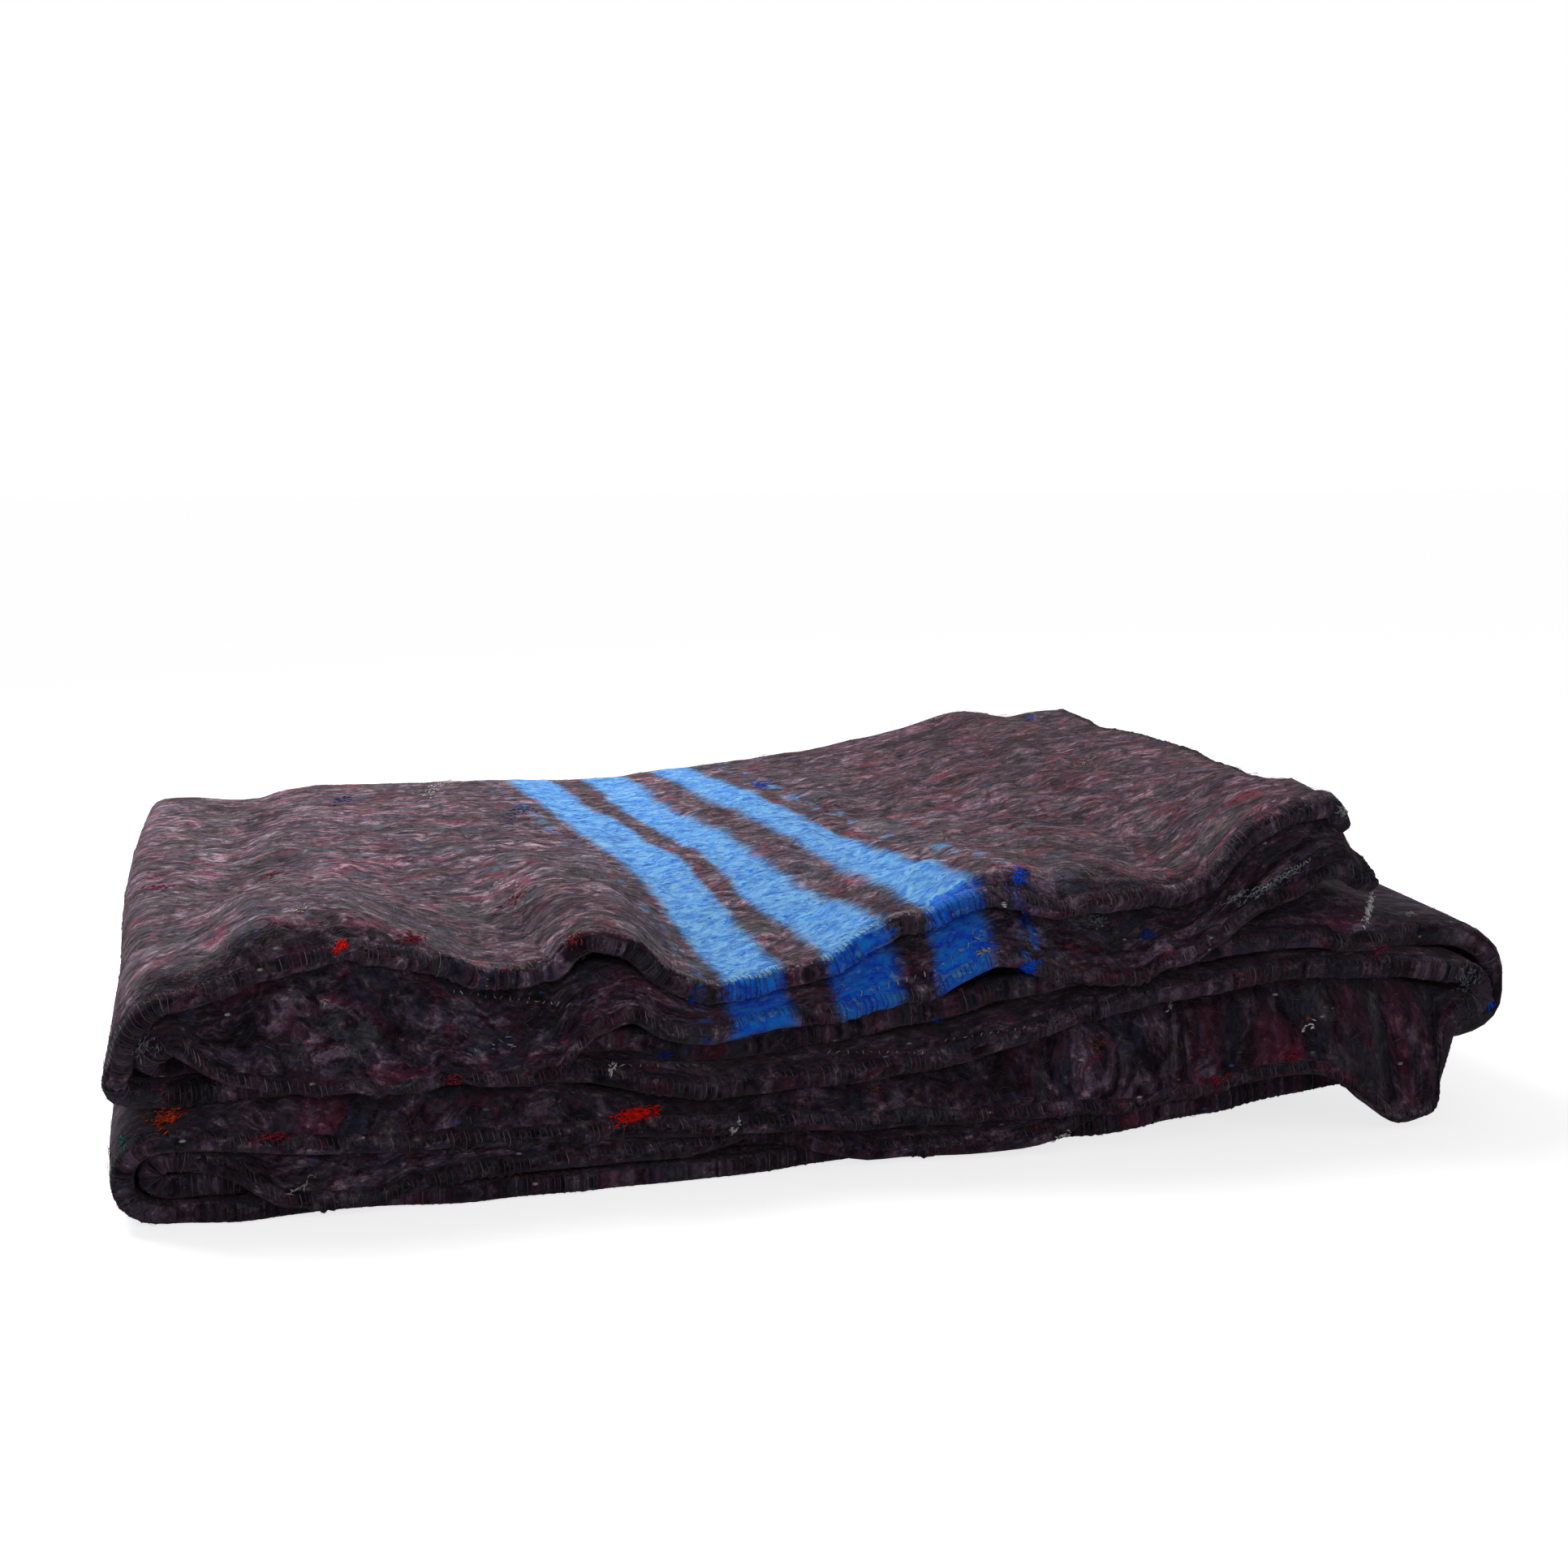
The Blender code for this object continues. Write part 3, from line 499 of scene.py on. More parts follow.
frontStart = fold["leftFree"][0]
panels = zip(fold["panelEnds"], felt["panelSteps"])
stations = [np.linspace(frontStart, end, steps + 1) for end, steps in panels]
shares = np.linspace(1, 0, felt["hangingSteps"] + 1)
topDepths = np.linspace(0, 1, felt["topRows"] + 1)[1:] ** felt["topSpacing"]
innerDepths = np.linspace(0, 1, felt["innerRows"] + 1)[1:] ** felt["innerSpacing"]
lowerHalf = clothHalf("B", stations, felt["turnSteps"], shares=shares, depths=innerDepths)
upperHalf = clothHalf("A", stations, felt["turnSteps"], shares=shares, depths=topDepths)
clothGrid = joinHalves(lowerHalf, upperHalf, felt["foldSteps"])
clothShell = thickShell(clothGrid, np.full(clothGrid.shape[:2], felt["hemBulge"]), felt["rimSteps"])
cloth = shellPiece("blanketCloth", clothShell["points"], clothShell["faces"], clothShell["extras"])


# The hem: an overlock seam that gathers the felt's edge into small lumps.
hem = {
    "inward": (0.0, 1.3, 2.8, 4.6, 6.6),  # rows of the hem band, by distance from the edge
    "extraThickness": (0.1, 0.4, 0.5, 0.2, -1.2),
    "lumpShares": (1.0, 0.9, 0.55, 0.2, 0.0),  # how much each row takes of the lumps
    "step": 1.32,  # along the edge
    "turnSteps": (40, 54, 36),
    "endRows": (14, 380, 14),  # rows of a short end: hanging, level, round the back
    "rimSteps": 4,
    "lumpPitch": 4.4,
    "lumpHeight": 1.7,
    "lumpSwell": 1.3,
    "lumpSizes": (0.45, 1.25),
    "lumpDrift": 0.28,
    "changeStep": 11.0,  # length of edge over which the lumps change
    "overrun": 40.0,
    "wander": 1.0,
    "roughness": 0.35,  # small unevenness of every point of the band
    "bulge": 1.6,
    "innerPush": 0.4,
    "seeds": (20, 21, 22, 23),
}

thread = {
    "pitch": 2.4,
    "unevenness": 0.25,
    "radius": 0.21,
    "proud": 0.12,
    "slant": 0.5,  # how far a stitch leans over each face, in stitches
    "endMargin": 3.0,
    "tone": (-0.4, 0.7),  # middle and spread of the logarithm of a stitch's brightness
    "toneLimits": (0.1, 3.0),
    "colour": (0.075, 0.066, 0.072),
    "seeds": (40, 41, 42, 43),
    "toneSeed": 50,
}


def hemBand(grid, seed):
    # Adds to the band's thickness, and pushes its edge out, by lumps |sin(pi s / pitch)|^0.7 along the edge.
    random = np.random.default_rng(seed)
    place = np.concatenate([[0], np.cumsum(np.linalg.norm(np.diff(grid[:, 0, :3], axis=0), axis=-1))])
    knots = np.arange(0, place[-1] + hem["overrun"], hem["changeStep"])
    drift = np.interp(place, knots, np.cumsum(random.normal(0, hem["lumpDrift"], len(knots))))
    size = np.interp(place, knots, random.uniform(*hem["lumpSizes"], len(knots)))
    wander = np.interp(place, knots, random.normal(0, hem["wander"], len(knots)))
    lump = np.abs(np.sin(np.pi * place / hem["lumpPitch"] + np.pi * drift)) ** 0.7 * size
    shares = np.array(hem["lumpShares"])
    grid = grid.copy()
    grid[..., 3] += np.array(hem["extraThickness"])
    grid[..., 3] += hem["lumpSwell"] * (lump[:, None] - 0.5) * shares
    grid[..., 3] += random.normal(0, hem["roughness"], grid.shape[:2]) * shares
    push = np.full(grid.shape[:2], hem["innerPush"])
    push[:, 0] = hem["bulge"] + hem["lumpHeight"] * (lump - 0.5) + wander
    return thickShell(grid, push, hem["rimSteps"]), place


def endHemGrid(panel):
    # The short end of the cloth in one panel: from the lower hem round the back to the upper hem.
    stationsHere = fold["panelEnds"][panel] - np.array(hem["inward"])[::-1]
    hanging, level, behind = hem["endRows"]
    rows = {"shares": np.linspace(1, 0, hanging), "depths": np.linspace(0, 1, level)[1:]}
    lower, upper = (plyGrid(fold["plies"][half][panel], panel, stationsHere, **rows) for half in ("B", "A"))
    return joinHalves(lower, upper, behind)[::-1].swapaxes(0, 1)


def joinShells(shells):
    firsts = np.cumsum([0, *(len(shell["points"]) for shell in shells)])
    faces = np.concatenate([shell["faces"] + first for shell, first in zip(shells, firsts)])
    points, extras = (np.concatenate([shell[key] for shell in shells]) for key in ("points", "extras"))
    return points, faces, extras


hemStations = [np.linspace(frontStart, end, int((end - frontStart) / hem["step"])) for end in fold["panelEnds"]]
hemGrids = [
    clothHalf(half, hemStations, hem["turnSteps"], inward=hem["inward"]).swapaxes(0, 1) for half in ("B", "A")
]
hemGrids += [endHemGrid(0), endHemGrid(3)]
hemBands = [hemBand(grid, seed) for grid, seed in zip(hemGrids, hem["seeds"])]
hemPoints, hemFaces, hemExtras = joinShells([shell for shell, place in hemBands])
overlockedHem = shellPiece("overlockedHem", hemPoints, hemFaces, hemExtras)
print("hem:", len(hemFaces) * 2, "triangles")


def tubes(paths, radius, sides):
    # Closed thin tubes: ring point = path + radius * (cos(a) * side + sin(a) * upward), with a point at each
    # end. paths is tubes by points by 3, and each tube has its radius.
    count, steps = paths.shape[:2]
    tangent = unit(np.gradient(paths, axis=1))
    across = unit(np.cross(tangent, np.roll(tangent, 1, axis=-1) + [0.1, 0.2, 0.3]))
    upward = np.cross(tangent, across)
    angle = np.arange(sides) * 2 * np.pi / sides
    side, upward = across[:, 1:-1, None], upward[:, 1:-1, None]
    round = np.cos(angle)[:, None] * side + np.sin(angle)[:, None] * upward
    ring = paths[:, 1:-1, None] + radius[:, None, None, None] * round
    rings = steps - 2
    points = np.concatenate([paths[:, :1], ring.reshape(count, rings * sides, 3), paths[:, -1:]], axis=1)
    one = np.arange(sides)
    after = (one + 1) % sides
    start = np.stack([np.zeros(sides, int), 1 + after, 1 + one], axis=-1)
    last = 1 + (rings - 1) * sides
    end = np.stack([np.full(sides, 1 + rings * sides), last + one, last + after], axis=-1)
    sleeve = []
    for step in range(rings - 1):
        a, b = 1 + step * sides, 1 + (step + 1) * sides
        sleeve.append(np.stack([a + one, a + after, b + one], axis=-1))
        sleeve.append(np.stack([a + after, b + after, b + one], axis=-1))
    faces = np.concatenate([start, *sleeve, end])
    per = 2 + rings * sides
    allFaces = (faces[None] + per * np.arange(count)[:, None, None]).reshape(-1, 3)
    return points.reshape(-1, 3), allFaces, per


def stitchPaths(shell, place, seed):
    # One stitch in every pitch of the edge: from the inner row of one face, round the rim, to the other face.
    # Each point stands off the middle of the felt by the thread's proud.
    random = np.random.default_rng(seed)
    columns, rows = shell["shape"]
    count = columns * rows
    over = shell["points"][:count].reshape(columns, rows, 3)
    under = shell["points"][count:2 * count].reshape(columns, rows, 3)
    rings = shell["points"][2 * count:].reshape(hem["rimSteps"], -1, 3)[:, : columns - 1]
    middle = (over + under) / 2
    stitches = np.arange(thread["endMargin"], place[-1] - thread["endMargin"], thread["pitch"])
    stitches = stitches + random.normal(0, thread["unevenness"], len(stitches))
    leans = ((3, 1.0), (2, 0.6), (1, 0.3), (0, 0.0))  # rows of a face, and the share of the slant there
    lines = [(over[:, row], middle[:, row], -lean) for row, lean in leans]
    lines += [(ring, middle[: columns - 1, 1], 0.0) for ring in rings]
    lines += [(under[:, row], middle[:, row], lean) for row, lean in leans[::-1]]
    path = []
    for line, core, lean in lines:
        line = line + unit(line - core) * thread["proud"]
        at = np.clip(stitches + lean * thread["slant"] * thread["pitch"], 0, place[len(line) - 1])
        path.append(np.stack([np.interp(at, place[: len(line)], line[:, axis]) for axis in range(3)], axis=-1))
    return np.stack(path, axis=1)


stitches = np.concatenate([stitchPaths(*band, seed) for band, seed in zip(hemBands, thread["seeds"])])
threadPoints, threadFaces, perStitch = tubes(stitches, np.full(len(stitches), thread["radius"]), 3)
random = np.random.default_rng(thread["toneSeed"])
stitchTone = np.clip(random.lognormal(*thread["tone"], len(stitches)), *thread["toneLimits"])
stitchTone = np.repeat(stitchTone, perStitch)
threadPoints = toFrame(threadPoints)
overlockThread = meshPiece("overlockThread", threadPoints, threadFaces, values={"threadTone": stitchTone})
print("thread:", len(stitches), "stitches,", len(threadFaces), "triangles")


# The look of the felt. Each noise: scale in the three directions, detail, roughness, distortion.
feltLook = {
    "tones": {
        "Ground": (0.108, 0.063, 0.082),
        "Light": (0.292, 0.202, 0.246),
        "Dark": (0.022, 0.012, 0.020),
        "Red": (0.220, 0.035, 0.065),
        "Blue": (0.050, 0.060, 0.098),
        "Green": (0.068, 0.084, 0.076),
    },
    "hueStrength": 0.70,
    # where in their noises the light, the dark and the coloured fibres begin, and where they are whole
    "lightFrom": (0.51, 0.59),
    "darkFrom": (0.49, 0.41),
    "hueFrom": (0.51, 0.61),
    "streaks": ((78, 105, 1), 5, 0.68, 1.0),
    "hairs": ((220, 340, 1), 4, 0.72, 0.8),
    "tufts": ((38, 52, 1), 5, 0.75, 1.0),
    "patches": ((16, 23, 1), 5, 0.74, 1.0),
    "hairShade": (0.25, 1.75),  # brightness of the darkest and of the palest hair
    "patchShade": (0.32, 1.75),
    "clumps": ((170, 210, 210), 3, 0.55),
    "curls": ((900, 1100, 1100), 3, 0.6),
    "relief": {"clumps": 1.2, "curls": 0.38, "hairs": 0.25, "streaks": 0.45},
    "shadeTint": (0.425, 0.41, 0.52),  # painted shade: felt darker and bluer where it is sheltered from the light, against felt on the open top
    "raggedShelter": 4.0,  # how unevenly the shelter begins
    "rightShade": (0.80, 0.68, 0.71),  # painted shade: the top's right side darker, standing in for the light falling off there, against the rest of it
    "rightShadeFrom": (385.0, 490.0),  # where that painted shade begins, and where it is whole
    "roughness": (0.88, 1.0),
    "specular": 0.15,
    "sheen": 0.12,
    "sheenRoughness": 0.45,
    "sheenTint": (1.0, 0.84, 0.92),
    "bump": 0.0019,
    # small coloured specks of lint: cells per metre, share without a speck, from where each colour begins
    "speckScale": (150, 330, 330),
    "speckless": 0.962,
    "speckColours": {
        0.0: (0.42, 0.41, 0.41),
        0.45: (0.30, 0.05, 0.05),
        0.62: (0.04, 0.10, 0.40),
        0.75: (0.24, 0.16, 0.12),
        0.88: (0.05, 0.20, 0.20),
    },
    "gathered": (0.85, 1.3),  # the hem's felt: its brightness and its relief, against the plain felt
}

# Loose fibres of the felt's nap, as thin closed spindles. They lie mostly along the blanket's length.
nap = {
    "lengths": (3.0, 9.5),
    "radii": (0.055, 0.12),
    "headingSpread": 48.0,  # degrees
    "lift": 0.35,
    "flyawayShare": 0.10,
    "flyawayLift": 1.7,
    "liftSpread": (0.5, 1.5),
    "toneSpread": (0.6, 1.4),
    "blueShare": 0.97,  # share of the fibres within a stripe that are blue
    "uneven": ((400, 400, 400), 2),  # the noise of a fibre's brightness
    "placeSeed": 61,
    "seeds": (71, 72, 73),
    "topCount": 10500,
    "frontCount": 14500,
    "endCount": 2600,
    "backCount": 2200,
    # the colours of the mixed fibres, and how often each comes
    "mix": (
        ((0.175, 0.120, 0.140), 26),
        ((0.300, 0.250, 0.265), 20),
        ((0.040, 0.026, 0.034), 22),
        ((0.210, 0.050, 0.070), 9),
        ((0.070, 0.090, 0.150), 8),
        ((0.130, 0.145, 0.125), 8),
        ((0.550, 0.520, 0.500), 4),
        ((0.300, 0.020, 0.025), 1.2),
        ((0.030, 0.090, 0.450), 1.2),
        ((0.030, 0.190, 0.200), 0.8),
    ),
    "stripeMix": (
        ((0.050, 0.220, 0.800), 40),
        ((0.160, 0.420, 0.880), 30),
        ((0.015, 0.080, 0.600), 25),
        ((0.450, 0.650, 0.900), 4),
    ),
}


def stripeShare(place):
    # 1 within a stripe, fading to 0 over a few millimetres at its edges.
    share, soft = np.zeros_like(place), stripes["fibreFeather"]
    for middle, half in stripes["bands"]:
        share = np.maximum(share, ease((half + soft - np.abs(place - middle)) / (2 * soft)))
    return share


def scatter(shell, side, columns, rows, count, random):
    # Random places on part of one face of a shell, as many per area everywhere: a cell is drawn by its area,
    # then a point in it by blending its corners.
    shape = shell["shape"]
    total = shape[0] * shape[1]
    face = shell["points"][side * total:(side + 1) * total].reshape(*shape, 3)
    stripe, shelter = shell["extras"][side * total:(side + 1) * total, 2:].T.reshape(2, *shape)
    c, r = np.meshgrid(np.arange(*columns), np.arange(*rows), indexing="ij")
    c, r = c.ravel(), r.ravel()
    along, across = face[c + 1, r] - face[c, r], face[c, r + 1] - face[c, r]
    area = np.linalg.norm(np.cross(along, across), axis=-1)
    cell = random.choice(len(area), count, p=area / area.sum())
    a, b = random.uniform(size=(count, 1)), random.uniform(size=(count, 1))
    along, across = along[cell], across[cell]
    c, r = c[cell], r[cell]
    near = face[c, r] * (1 - b) + face[c, r + 1] * b
    far = face[c + 1, r] * (1 - b) + face[c + 1, r + 1] * b
    return {
        "root": near * (1 - a) + far * a,
        "normal": unit(np.cross(along, across) * (1 if side == 0 else -1)),
        "along": unit(along),
        "stripe": stripe[c, r],
        "shelter": shelter[c, r],
    }


def fibrePaths(spots, random, lengths, lift, spread):
    # path(t) = root + heading * length * t + sideways * curl * (t^2 - 0.1)
    # + normal * lift * (0.3 + 2.2 * (1/4 - t^2) + tilt * t), with t from -1/2 to 1/2.
    count = len(spots["root"])
    turn = np.radians(random.normal(0, spread, count))[:, None]
    sideways = np.cross(spots["normal"], spots["along"])
    heading = spots["along"] * np.cos(turn) + sideways * np.sin(turn)
    bend = sideways * np.cos(turn) - spots["along"] * np.sin(turn)
    length = np.exp(random.uniform(np.log(lengths[0]), np.log(lengths[1]), count))[:, None, None]
    t = np.linspace(-0.5, 0.5, 4)[None, :, None]
    curl = random.normal(0, 0.5, (count, 1, 1)) * length
    tilt = random.normal(0, 0.5, (count, 1, 1))
    height = lift[:, None, None] * (0.3 + 2.2 * (0.25 - t * t) + tilt * t)
    path = spots["root"][:, None] + heading[:, None] * length * t
    return path + bend[:, None] * curl * (t * t - 0.1) + spots["normal"][:, None] * height


def fromMix(mix, count, random):
    # Colours drawn from a mix, each as often as its weight says.
    colours, weights = zip(*mix)
    weights = np.array(weights, float)
    return np.array(colours)[random.choice(len(colours), count, p=weights / weights.sum())]


def pickColours(spots, random):
    count = len(spots["root"])
    chosen, blue = fromMix(nap["mix"], count, random), fromMix(nap["stripeMix"], count, random)
    inStripe = random.uniform(size=count) < stripeShare(spots["stripe"]) * nap["blueShare"]
    chosen = np.where(inStripe[:, None], blue, chosen)
    # Painted shade on the fibres too: darker where sheltered, and on the right side of the top.
    start, full = feltLook["rightShadeFrom"]
    rightShade = ease((spots["root"][:, 0] - start) / (full - start)) * (1 - spots["shelter"])
    for tint, share in ((feltLook["shadeTint"], spots["shelter"]), (feltLook["rightShade"], rightShade)):
        chosen = chosen * (1 - (1 - np.array(tint)) * (share * ~inStripe)[:, None])
    return chosen * random.uniform(*nap["toneSpread"], (count, 1))


def fibreMesh(name, paths, radius, colours):
    points, faces, per = tubes(paths, radius, 3)
    print(name + ":", len(paths), "fibres,", len(faces), "triangles")
    return meshPiece(name, toFrame(points), faces, colours={"fibreColour": np.repeat(colours, per, axis=0)})


def fibrePiece(name, parts, seed):
    random = np.random.default_rng(seed)
    spots = {key: np.concatenate([part[key] for part in parts]) for key in parts[0]}
    count = len(spots["root"])
    lift = np.where(random.uniform(size=count) < nap["flyawayShare"], nap["flyawayLift"], nap["lift"])
    lift = lift * random.uniform(*nap["liftSpread"], count)
    paths = fibrePaths(spots, random, nap["lengths"], lift, nap["headingSpread"])
    radius = random.uniform(*nap["radii"], count)
    return fibreMesh(name, paths, radius, pickColours(spots, random))


# Where the nap grows, as columns and rows of the cloth's grid: its top, its front edges, and its turned ends
# with the fold at the back.
random = np.random.default_rng(nap["placeSeed"])
lastColumn, lastRow = clothShell["shape"][0] - 1, clothShell["shape"][1] - 1
allColumns, allRows = (0, lastColumn), (0, lastRow)
firstFold = felt["hangingSteps"] + felt["innerRows"]
foldRows = (firstFold, firstFold + felt["foldSteps"])
hemRows = felt["hangingSteps"] - 2
turnColumns, start = [], felt["panelSteps"][0]
for panel, steps in enumerate(felt["turnSteps"]):
    turnColumns.append((start, start + steps))
    start += steps + felt["panelSteps"][panel + 1] + (1 if panel < 2 else 0)
topColumns, topRows = (0, felt["panelSteps"][0]), (foldRows[1], lastRow - 2)
topPart = scatter(clothShell, 0, topColumns, topRows, nap["topCount"], random)
topFibres = fibrePiece("napOnTop", [topPart], nap["seeds"][0])
frontParts = [
    scatter(clothShell, side, allColumns, rows, nap["frontCount"] // 4, random)
    for side in (0, 1)
    for rows in ((0, hemRows), (lastRow - hemRows, lastRow))
]
frontFibres = fibrePiece("napOnFront", frontParts, nap["seeds"][1])
endCount = nap["endCount"] // 3
sideParts = [scatter(clothShell, 0, columns, allRows, endCount, random) for columns in turnColumns]
sideParts.append(scatter(clothShell, 0, allColumns, foldRows, nap["backCount"], random))
sideFibres = fibrePiece("napOnEnds", sideParts, nap["seeds"][2])


# Tufts and lint caught in the felt, and the stitches that show on the sheltered hems. Each is placed where a
# line of sight from in front crosses the front plane: x and height, then size, heading in degrees and fibres.
lint = {
    "fibreLengths": (1.6, 4.6),
    "fibreRadii": (0.18, 0.42),
    "lift": 0.55,
    "liftSpread": (0.5, 1.6),
    "headingSpread": 34.0,
    "sizeInSpreads": 3.6,  # a tuft's length and width, in standard deviations of its fibres' places
    "toneSpread": (0.6, 1.25),
    "stitchHeading": 1.2,  # radians
    "stitchUnevenness": 0.2,
    "stitchTones": (0.5, 1.3),
    "seed": 74,
    "colours": {
        "red": (1.000, 0.012, 0.012),
        "crimson": (0.300, 0.020, 0.045),
        "orange": (0.850, 0.090, 0.025),
        "rust": (0.170, 0.055, 0.035),
        "pink": (0.420, 0.060, 0.130),
        "white": (0.950, 0.940, 0.900),
        "cream": (0.560, 0.490, 0.380),
        "pale": (0.420, 0.430, 0.410),
        "grey": (0.210, 0.220, 0.250),
        "sky": (0.260, 0.400, 0.640),
        "blue": (0.004, 0.120, 1.000),
        "navy": (0.008, 0.040, 0.300),
        "teal": (0.020, 0.210, 0.200),
    },
    "tufts": (
        (214, 30, 17, 5, 8, 190, "red"),
        (89, 112, 7, 3, 45, 40, "red"),
        (118, 114, 11, 5, -8, 40, "crimson"),
        (188, 110, 7, 6, 60, 34, "crimson"),
        (304, 162, 12, 3, 15, 22, "crimson"),
        (58, 32, 17, 4, 3, 44, "crimson"),
        (16, 44, 12, 7, 30, 90, "orange"),
        (577, 83, 9, 5, 20, 46, "pink"),
        (131, 178, 8, 5, 30, 34, "white"),
        (260, 21, 9, 4, 50, 14, "white"),
        (570, 104, 12, 3, 75, 110, "white"),
        (555, 150, 6, 5, 60, 26, "pale"),
        (416, 5, 9, 4, 20, 18, "white"),
        (70, 10, 13, 2, 35, 14, "pale"),
        (541, 48, 8, 4, 10, 9, "white"),
        (205, 52, 6, 3, 60, 14, "white"),
        (377, 94, 5, 3, 0, 14, "cream"),
        (386, 115, 2, 2, 0, 5, "white"),
        (432, 105, 7, 6, 30, 26, "grey"),
        (398, 199, 4, 3, 0, 14, "blue"),
        (637, 52, 5, 3, 60, 20, "blue"),
        (456, 97, 7, 6, 0, 30, "navy"),
        (240, 79, 4, 3, 20, 10, "blue"),
        (354, 63, 4, 3, 0, 10, "blue"),
        (393, 127, 8, 6, 70, 80, "blue"),
        (396, 108, 7, 5, 80, 40, "navy"),
        (398, 85, 9, 6, 20, 80, "blue"),
        (-2, 36, 5, 3, 80, 20, "teal"),
        (73, 129, 5, 3, 30, 18, "cream"),
        (160, 135, 9, 3, 10, 14, "white"),
        (91, 174, 9, 3, 20, 22, "navy"),
        (61, 143, 7, 3, 20, 20, "crimson"),
        (163, 128, 15, 4, 30, 30, "crimson"),
        (15, 141, 11, 3, 5, 24, "pink"),
        (82, 89, 3, 2, 0, 8, "cream"),
        (8, 74, 11, 9, 60, 46, "grey"),
        (592, 99, 4, 3, 0, 14, "pale"),
        (624, 66, 16, 13, 60, 50, "grey"),
        (468, 62, 7, 2, 60, 8, "pale"),
        (493, 26, 13, 4, 10, 40, "crimson"),
        (531, 35, 13, 5, 5, 34, "crimson"),
        (431, 48, 13, 6, 5, 34, "rust"),
        (426, 178, 9, 3, 30, 12, "pale"),
        (146, 66, 24, 9, 5, 8, "sky"),
        (228, 56, 8, 5, 0, 20, "navy"),
        (326, 33, 10, 4, 0, 24, "rust"),
        (136, 52, 12, 4, 5, 26, "crimson"),
        (165, 166, 14, 8, 20, 40, "navy"),
        (273, 174, 10, 6, 10, 30, "blue"),
        (522, 119, 34, 5, 27, 90, "grey"),
        (500, 112, 20, 3, 22, 40, "grey"),
    ),
    # from x and height to x and height, and how many stitches show
    "stitchRows": (
        (136, 90, 185, 81, 15),
        (204, 53, 246, 50, 11),
        (304, 52, 347, 49, 12),
        (359, 54, 396, 57, 10),
        (318, 78, 352, 86, 9),
        (352, 86, 373, 100, 6),
        (507, 112, 538, 128, 22),
    ),
}


def seenSpots(places, tree):
    # The first point of the cloth on each line of sight, and the way its surface faces there.
    eye = np.array(view["eye"])
    found = []
    for x, height in places:
        towards = Vector(np.array([x, 0.0, height]) - eye)
        place, normal, index, distance = tree.ray_cast(Vector(eye), towards.normalized())
        if place is not None:
            found.append((*place, *(-normal if normal.dot(towards) > 0 else normal)))
        else:
            found.append((np.nan,) * 6)
    return np.array(found, float)


def lintPiece(name):
    # A tuft's fibres lie round its middle on a turned ellipse: place + turn * (along, across).
    random = np.random.default_rng(lint["seed"])
    surface = np.concatenate([clothShell["points"], hemPoints])
    faces = np.concatenate([clothShell["faces"], hemFaces + len(clothShell["points"])])
    tree = BVHTree.FromPolygons(surface.tolist(), faces.tolist())
    places, colours, turns = [], [], []
    for x, height, length, width, heading, count, colour in lint["tufts"]:
        turn = np.radians(heading)
        along = random.normal(0, length / lint["sizeInSpreads"], count)
        across = random.normal(0, width / lint["sizeInSpreads"], count)
        right = x + along * np.cos(turn) - across * np.sin(turn)
        up = height + along * np.sin(turn) + across * np.cos(turn)
        places.append(np.stack([right, up], axis=-1))
        colours.append(np.array(lint["colours"][colour]) * random.uniform(*lint["toneSpread"], (count, 1)))
        turns.append(np.full(count, turn))
    for x0, height0, x1, height1, count in lint["stitchRows"]:
        uneven = random.uniform(-lint["stitchUnevenness"], lint["stitchUnevenness"], (count, 1))
        share = (np.arange(count)[:, None] + uneven) / (count - 1)
        places.append(np.array([x0, height0]) + np.array([x1 - x0, height1 - height0]) * share)
        colours.append(np.array(lint["colours"]["pale"]) * random.uniform(*lint["stitchTones"], (count, 1)))
        turns.append(np.full(count, lint["stitchHeading"]))
    found = seenSpots(np.concatenate(places), tree)
    colours, turn = np.clip(np.concatenate(colours), 0, 1), np.concatenate(turns)
    good = ~np.isnan(found[:, 0])
    found, colours, turn = found[good], colours[good], turn[good]
    normal = found[:, 3:]
    level = unit(np.array([1.0, 0.0, 0.0]) - normal * normal[:, :1])
    along = level * np.cos(turn)[:, None] + np.cross(normal, level) * np.sin(turn)[:, None]
    spots = {"root": found[:, :3], "normal": normal, "along": along}
    lift = lint["lift"] * random.uniform(*lint["liftSpread"], len(found))
    paths = fibrePaths(spots, random, lint["fibreLengths"], lift, lint["headingSpread"])
    return fibreMesh(name, paths, random.uniform(*lint["fibreRadii"], len(found)), colours)


caughtLint = lintPiece("caughtLint")


# Materials. Colours are linear. The groups give colours, masks and heights, and each shader stays outside them.
def feed(tree, socket, value):
    # Links an output to a socket, or sets the socket to a number, vector or colour.
    if isinstance(value, bpy.types.NodeSocket):
        tree.links.new(value, socket)
    elif isinstance(value, tuple) and len(value) < len(socket.default_value):
        socket.default_value = (*value, 1.0)
    else:
        socket.default_value = value


def addNode(tree, kind, inputs=None, **settings):
    node = tree.nodes.new("ShaderNode" + kind)
    for name, value in settings.items():
        setattr(node, name, value)
    for label, value in (inputs or {}).items():
        feed(tree, node.inputs[label], value)
    return node


def calculate(tree, operation, *values):
    return addNode(tree, "Math", dict(enumerate(values)), operation=operation).outputs[0]


def addUp(tree, *terms):
    # The sum of value * weight.
    total = None
    for value, weight in terms:
        part = calculate(tree, "MULTIPLY", value, weight)
        total = part if total is None else calculate(tree, "ADD", total, part)
    return total


def stretchedNoise(tree, vector, scale, detail, roughness=0.6, distortion=0.0):
    # Noise on a vector whose three parts are each scaled first.
    scaled = addNode(tree, "VectorMath", {0: vector, 1: scale}, operation="MULTIPLY").outputs[0]
    inputs = {"Vector": scaled, "Scale": 1.0, "Detail": detail, "Roughness": roughness}
    return addNode(tree, "TexNoise", {**inputs, "Distortion": distortion}).outputs


